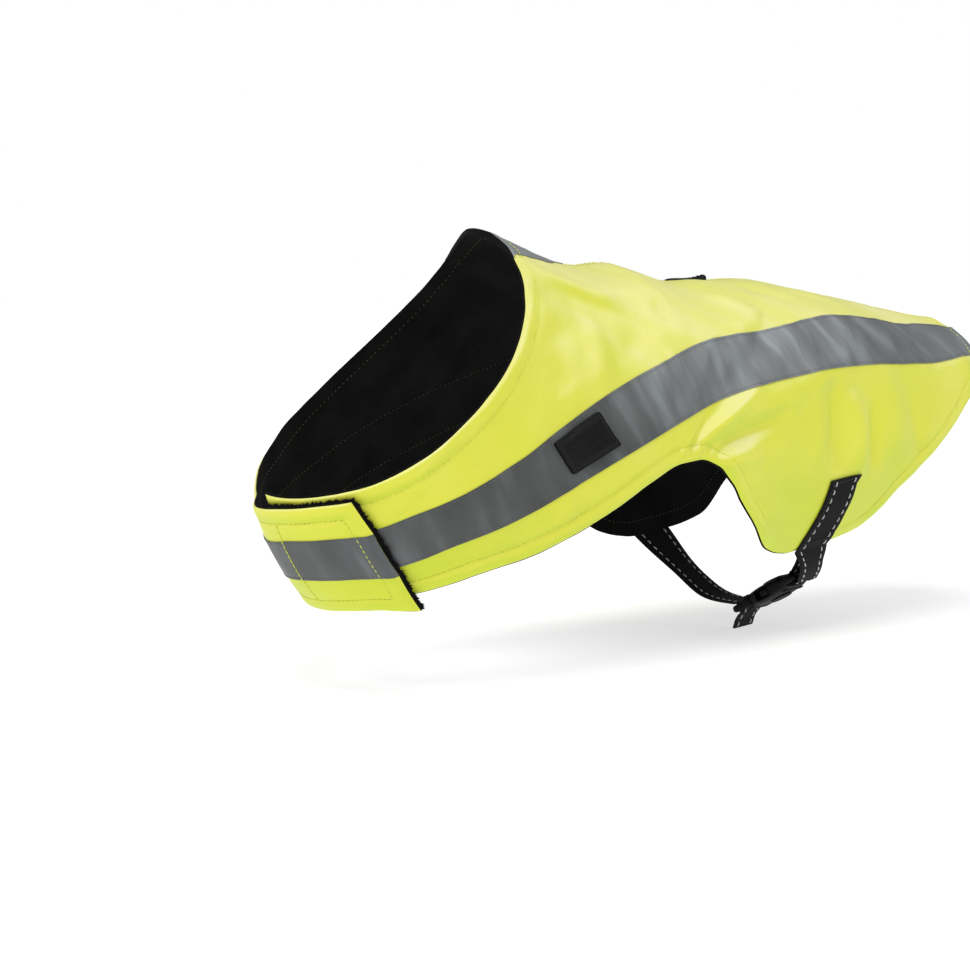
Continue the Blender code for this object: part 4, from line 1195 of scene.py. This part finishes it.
def loop_rows(bar, direction, arrives, far_run):
    """Rows of the webbing round a buckle bar, and of the loose end behind it."""
    across, axis, outward = buckle_axes()
    centre = BUCKLE_MOUTH + axis * bar
    rows = []
    for degrees in np.arange(90.0, -91.0, -10.0):
        swing = math.radians(degrees)
        radial = outward * arrives * math.sin(swing) + axis * direction * math.cos(swing)
        rows.append((centre + radial * WEBBING_LOOP_RADIUS, radial * arrives))
    end, normal = rows[-1]
    reach, droop = np.array([(0.0, 0.0)] + far_run).T
    for f in np.arange(1.5, reach[-1] + 0.1, 1.5):
        low = np.interp(f, reach, droop)
        rows.append((end - axis * direction * f + outward * low, normal))
    return rows, across


def blend_rows(stops, count):
    knots = np.arange(len(stops), dtype=float)
    rows = np.array([np.concatenate(stop) for stop in stops])
    mixed = natural_spline(knots, rows, np.linspace(0.0, knots[-1], count + 1)[1:])
    centre, across, normal = mixed[:, 0:3], unit(mixed[:, 3:6]), mixed[:, 6:9]
    normal = unit(normal - across * np.sum(across * normal, axis=1, keepdims=True))
    return list(centre), list(across), list(normal)


def belt_base(panel, bar, direction, arrives, far_run, stops_between, count):
    """Rows of the belt: centre points across its width, and normals."""
    first, last = (panel.station(k) for k in BELT_STATIONS)
    share = np.linspace(-0.5, 0.5, WEBBING_COLUMNS)
    rows = []
    for v in np.linspace(3.6, 4.0, 26):
        u = first + (last - first) * (share + 0.5)
        point, normal = panel.surface(u, np.full(len(u), v))
        away = np.clip(panel.edge_distance(point), 1.0, None)
        rows.append((point + normal * (WEBBING_LIFT - 0.4 + 0.5 * hem_shape(away))[:, None], normal))
    lobe_edge, lobe_normal = rows[-1]
    centre, normal = lobe_edge[WEBBING_COLUMNS // 2], lobe_normal[WEBBING_COLUMNS // 2]
    side = unit(lobe_edge[-1] - lobe_edge[0])
    start = (centre, side, normal)
    turn, across = loop_rows(bar, direction, arrives, far_run)
    if across @ side < 0:
        across = -across
    stops = [start] + stops_between(start, turn[0], across) + [(turn[0][0], across, turn[0][1])]
    centres, sides, normals = blend_rows(stops, count)
    centres += [row[0] for row in turn[1:]]
    sides += [across] * (len(turn) - 1)
    normals += [row[1] for row in turn[1:]]
    aside = WEBBING_WIDTH * share[:, None]
    leftover = lobe_edge - (centre + side * aside)
    for k, (c, s, n) in enumerate(zip(centres, sides, normals)):
        stay = 1.0 - smoothstep(0.0, 0.45 * count, k + 1.0)
        rows.append((c + s * aside + leftover * stay, unit(n + (lobe_normal - normal) * stay)))
    return (np.array(part) for part in zip(*rows))


def build_belt(panel, bar, direction, arrives, far_run, stops_between, count):
    """Webbing from the lobe round its buckle bar, with rows of pale dashes on both faces and a sewn box."""
    points, ups = belt_base(panel, bar, direction, arrives, far_run, stops_between, count)
    rows, cols = points.shape[:2]
    share = np.linspace(-0.5, 0.5, cols)
    edge = WEBBING_HALF_THICK * (1.0 - 0.55 * np.clip((np.abs(share) - 0.44) / 0.06, 0.0, 1.0) ** 2)
    half = np.tile(edge, rows)
    arc = arc_length(points[:, cols // 2])
    uv = np.stack([np.repeat(arc, cols), np.tile(share * WEBBING_WIDTH, rows)], axis=-1)
    belt = wall("belt_webbing_" + panel.word, points.reshape(-1, 3), ups.reshape(-1, 3),
                grid_quads(rows, cols), -half, half, WEB, uv)
    finish_piece(belt, "webbing", "belt_" + panel.word)
    dashes = []
    for at in (-DASH_ASIDE, DASH_ASIDE):
        line = np.array([sample(share, row, at) for row in points])
        up = unit(np.array([sample(share, row, at) for row in ups]))
        dashes += [(line + up * face * DASH_LIFT, up * face) for face in (1.0, -1.0)]
    stitches("belt_dashes_" + panel.word, dashes, 5.3, 3.3, 0.42, WHITE_THREAD, "webbing", 14,
             sides=8, sink=0.7)
    box = []
    f = np.linspace(0.0, 1.0, 40)
    for (row0, share0), (row1, share1) in zip(BOX_CORNERS, BOX_CORNERS[1:]):
        at, aside = row0 + (row1 - row0) * f, share0 + (share1 - share0) * f
        low = np.floor(at).astype(int)
        part = (at - low)[:, None, None]
        between = points[low] * (1 - part) + points[np.minimum(low + 1, rows - 1)] * part
        spot = np.array([sample(share, row, a) for row, a in zip(between, aside)])
        up = unit(np.array([sample(share, row, a) for row, a in zip(ups[low], aside)]))
        box.append((spot + up * DASH_LIFT, up))
    stitches("belt_box_stitches_" + panel.word, box, 2.6, 2.0, 0.2, BLACK_THREAD, "webbing", 15)
    return belt


def left_stops(start, turn, across):
    middle = (start[0] + turn[0]) / 2 + start[2] * 2.5
    return [(middle, start[1] + across, start[2] + turn[1])]


def right_stops(start, turn, across):
    stops = []
    for s, angle, lift in RIGHT_BELT:
        place = (np.array([s]), np.array([angle]))
        normal = ring_normal(*place)[0] * (-1.0, 1.0, 1.0)
        point = ring_point(*place)[0] * (-1.0, 1.0, 1.0) + normal * lift
        stops.append((point, start[1] * 0.5 + across * 0.5, normal))
    return stops


# Buckle

def in_buckle(points):
    across, axis, outward = buckle_axes()
    points = np.asarray(points, float)
    return BUCKLE_MOUTH + points @ np.stack([across, axis, outward])


def ring_rows(stations, corners, power=3.2):
    """Rings of a rounded body, from (y, half width, half height)."""
    c, s = rounded(2 * math.pi * np.arange(corners) / corners, power)
    return np.concatenate([np.stack([c * w, np.full(corners, y), s * h], axis=-1) for y, w, h in stations])


def loft(stations, corners=72):
    return ring_rows(stations, corners), inside_out(tube_faces(len(stations), corners))


def hollow_loft(outer, inner, opening, corners=72):
    """Hollow body, open at its first ring, with cells left out where opening says so."""
    verts = np.concatenate([ring_rows(part, corners) for part in (outer, inner)])
    inside = len(outer) * corners
    last = inside - corners
    cells = [(i, k) for i in range(len(outer) - 1) for k in range(corners)
             if not opening(outer[i][0], k / corners)]
    i, k = np.array(cells).T
    low, after = i * corners, (k + 1) % corners
    sheet = np.stack([low + k, low + corners + k, low + corners + after, low + after], axis=1)
    rim = boundary(sheet)
    rim = rim[(rim < last).any(axis=1)]
    sides = np.stack([rim[:, 1], rim[:, 0], rim[:, 0] + inside, rim[:, 1] + inside], axis=1)
    faces = sheet.tolist() + (sheet[:, ::-1] + inside).tolist() + sides.tolist()
    faces += [list(range(last, inside))[::-1], list(range(inside + last, 2 * inside))]
    return verts, faces


def frame_rod(half, start, bar, corner=3.0):
    """U-shaped frame: two sides and the bar that the webbing goes round."""
    way = 1.0 if bar > start else -1.0
    path = [(-half, start + (bar - way * corner - start) * f, 0.0) for f in np.linspace(0.0, 1.0, 8)]
    for degrees in range(15, 90, 15):
        swing = math.radians(degrees)
        path.append((-half + corner * (1 - math.cos(swing)), bar - way * corner * (1 - math.sin(swing)), 0.0))
    side = len(path)
    path += [(x, bar, 0.0) for x in np.linspace(-half + corner, half - corner, 14)]
    path += [(-x, y, z) for x, y, z in path[:side][::-1]]
    return sweep(np.array(path), UP, 1.7, 2.1)


def grip_ribs(places, half, height):
    """Raised ribs across both faces, from (y, share of the width)."""
    ribs = []
    for y, wide in places:
        for face in (1.0, -1.0):
            path = np.array([(x, y, face * height) for x in np.linspace(-half * wide, half * wide, 12)])
            ribs.append(sweep(path, UP, 0.5, 0.4, sides=8, power=2.0))
    return ribs


def arm(places, half_height, side=1.0):
    """Flat arm in the buckle's middle plane, from (x, y, half width)."""
    x, y, width = np.array(places).T
    return sweep(np.stack([x * side, y, np.zeros(len(x))], axis=-1), UP, width, half_height)


def boss(face):
    """Round button on one face of the socket."""
    turn = np.linspace(0.0, 2 * math.pi, BOSS_CORNERS, endpoint=False)
    rings = [np.stack([radius * np.cos(turn), BOSS_AT + radius * np.sin(turn),
                       np.full(BOSS_CORNERS, face * height)], axis=-1) for radius, height in BOSS_RINGS]
    faces = tube_faces(len(rings), BOSS_CORNERS)
    return np.concatenate(rings), faces if face > 0 else inside_out(faces)


def build_buckle_part(name, parts, node):
    verts, faces = join(parts)
    finish_piece(new_object(name, in_buckle(verts), faces, PLASTIC, sharp=35.0), "buckle", node)


def build_socket():
    """Socket: hollow body with side windows, round bosses, grip ribs and the webbing frame."""
    inner = []
    for n, (y, width, height) in enumerate(SOCKET_RINGS):
        past = max(0, n - 8)
        depth = y if n < 8 else SOCKET_CAVITY_END + 0.4 * past
        inner.append((depth, width - SOCKET_WALL, min(height - SOCKET_WALL, 3.6)))
    inner[:2] = SOCKET_MOUTH_INSIDE

    def window(y, turn):
        return WINDOW[0] <= y < WINDOW[1] and min(turn, abs(turn - 0.5), 1.0 - turn) < WINDOW_TURN

    parts = [hollow_loft(SOCKET_RINGS, inner, window), frame_rod(14.3, 24.5, SOCKET_BAR)]
    parts += [boss(1.0), boss(-1.0)]
    parts += grip_ribs([(21.6, 0.72), (23.2, 0.72)], 16.0, 4.95)
    build_buckle_part("socket_body", parts, "buckle_socket")


def build_plug():
    """Plug: thick shoulder, two prongs that show in the windows, guide, ribs and webbing frame."""
    parts = [loft(PLUG_RINGS), frame_rod(13.9, -6.5, PLUG_BAR)]
    parts += [arm(PRONG, PRONG_HALF_HEIGHT, side) for side in (1.0, -1.0)]
    parts.append(arm(GUIDE, GUIDE_HALF_HEIGHT))
    parts += grip_ribs([(-6.2, 0.75), (-4.6, 0.78), (-3.0, 0.78)], 15.6, 4.35)
    build_buckle_part("plug_body", parts, "buckle_plug")


left = Panel(1, "left", LEFT_FRONT, LEFT_TAPE_START)
right = Panel(-1, "right", RIGHT_FRONT, RIGHT_TAPE_START)
shell_left, lining_left, tape_left = build_half(left)
shell_right, lining_right, tape_right = build_half(right)
nape = build_nape_tape(left, right)
build_nape_binding(left, right)
build_sewing(left)
build_sewing(right)
build_closure_stitches(right)
loop_layer = build_pile("loop_layer", left, (left.knots[1], left.knots[2]), (1.25, 3.8), (2.45, 3.9),
                        (0.3, 0.3, 0.3), "loop_patch", 21)
hook_layer = build_pile("hook_layer", right, (0.0, right.knots[3]), (1.0, 4.0), (-1.3, 0.0),
                        (1.6, 0.4, 2.2), "hook_patch", 22)
build_label(left)
build_slot_trim(left)
belt_left = build_belt(left, SOCKET_BAR, -1.0, 1.0, LEFT_END, left_stops, 20)
belt_right = build_belt(right, PLUG_BAR, 1.0, -1.0, RIGHT_END, right_stops, 60)
build_socket()
build_plug()

# Stage, light and camera

low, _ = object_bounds()
floor_mesh = bpy.data.meshes.new("floor")
corners = [(x * FLOOR_HALF, y * FLOOR_HALF, low.z - FLOOR_GAP)
           for x, y in ((-1, -1), (1, -1), (1, 1), (-1, 1))]
floor_mesh.from_pydata(corners, [], [(0, 1, 2, 3)])
floor_mesh.materials.append(floor_finish())
floor = bpy.data.objects.new("floor", floor_mesh)
bpy.context.scene.collection.objects.link(floor)

world = bpy.data.worlds.new("studio")
world.use_nodes = True
background = world.node_tree.nodes["Background"]
background.inputs["Color"].default_value = (1.0, 1.0, 1.0, 1.0)
rays = world.node_tree.nodes.new("ShaderNodeLightPath")
level_by_ray = world.node_tree.nodes.new("ShaderNodeMapRange")
level_by_ray.inputs["To Min"].default_value = SKY_LIGHT
level_by_ray.inputs["To Max"].default_value = 1.0
world.node_tree.links.new(rays.outputs["Is Camera Ray"], level_by_ray.inputs["Value"])
world.node_tree.links.new(level_by_ray.outputs["Result"], background.inputs["Strength"])
bpy.context.scene.world = world
bpy.context.scene.view_settings.view_transform = "Standard"


def soft_sun(name, toward, spread, strength):
    """A broad soft light from one direction."""
    lamp = bpy.data.lights.new(name, "SUN")
    lamp.angle = math.radians(spread)
    lamp.energy = strength
    thing = bpy.data.objects.new(name, lamp)
    thing.rotation_mode = "QUATERNION"
    thing.rotation_quaternion = Vector(toward).to_track_quat("Z", "Y")
    bpy.context.scene.collection.objects.link(thing)


soft_sun("key", (0.15, -0.55, 1.0), 45.0, KEY_LIGHT)
soft_sun("rear_top", (0.45, 0.75, 1.0), 50.0, REAR_LIGHT)

a, e = math.radians(CAMERA_AZIMUTH), math.radians(CAMERA_ELEVATION)
back = Vector((math.sin(a) * math.cos(e), -math.cos(a) * math.cos(e), math.sin(e)))
lens = bpy.data.cameras.new("camera")
lens.sensor_width = CAMERA_SENSOR
lens.lens = CAMERA_LENS
lens.clip_start = 0.05
lens.clip_end = 50.0
camera = bpy.data.objects.new("camera", lens)
camera.location = CAMERA_AIM + back * CAMERA_DISTANCE
camera.rotation_mode = "QUATERNION"
camera.rotation_quaternion = (-back).to_track_quat("-Z", "Y")
bpy.context.scene.collection.objects.link(camera)
bpy.context.scene.camera = camera
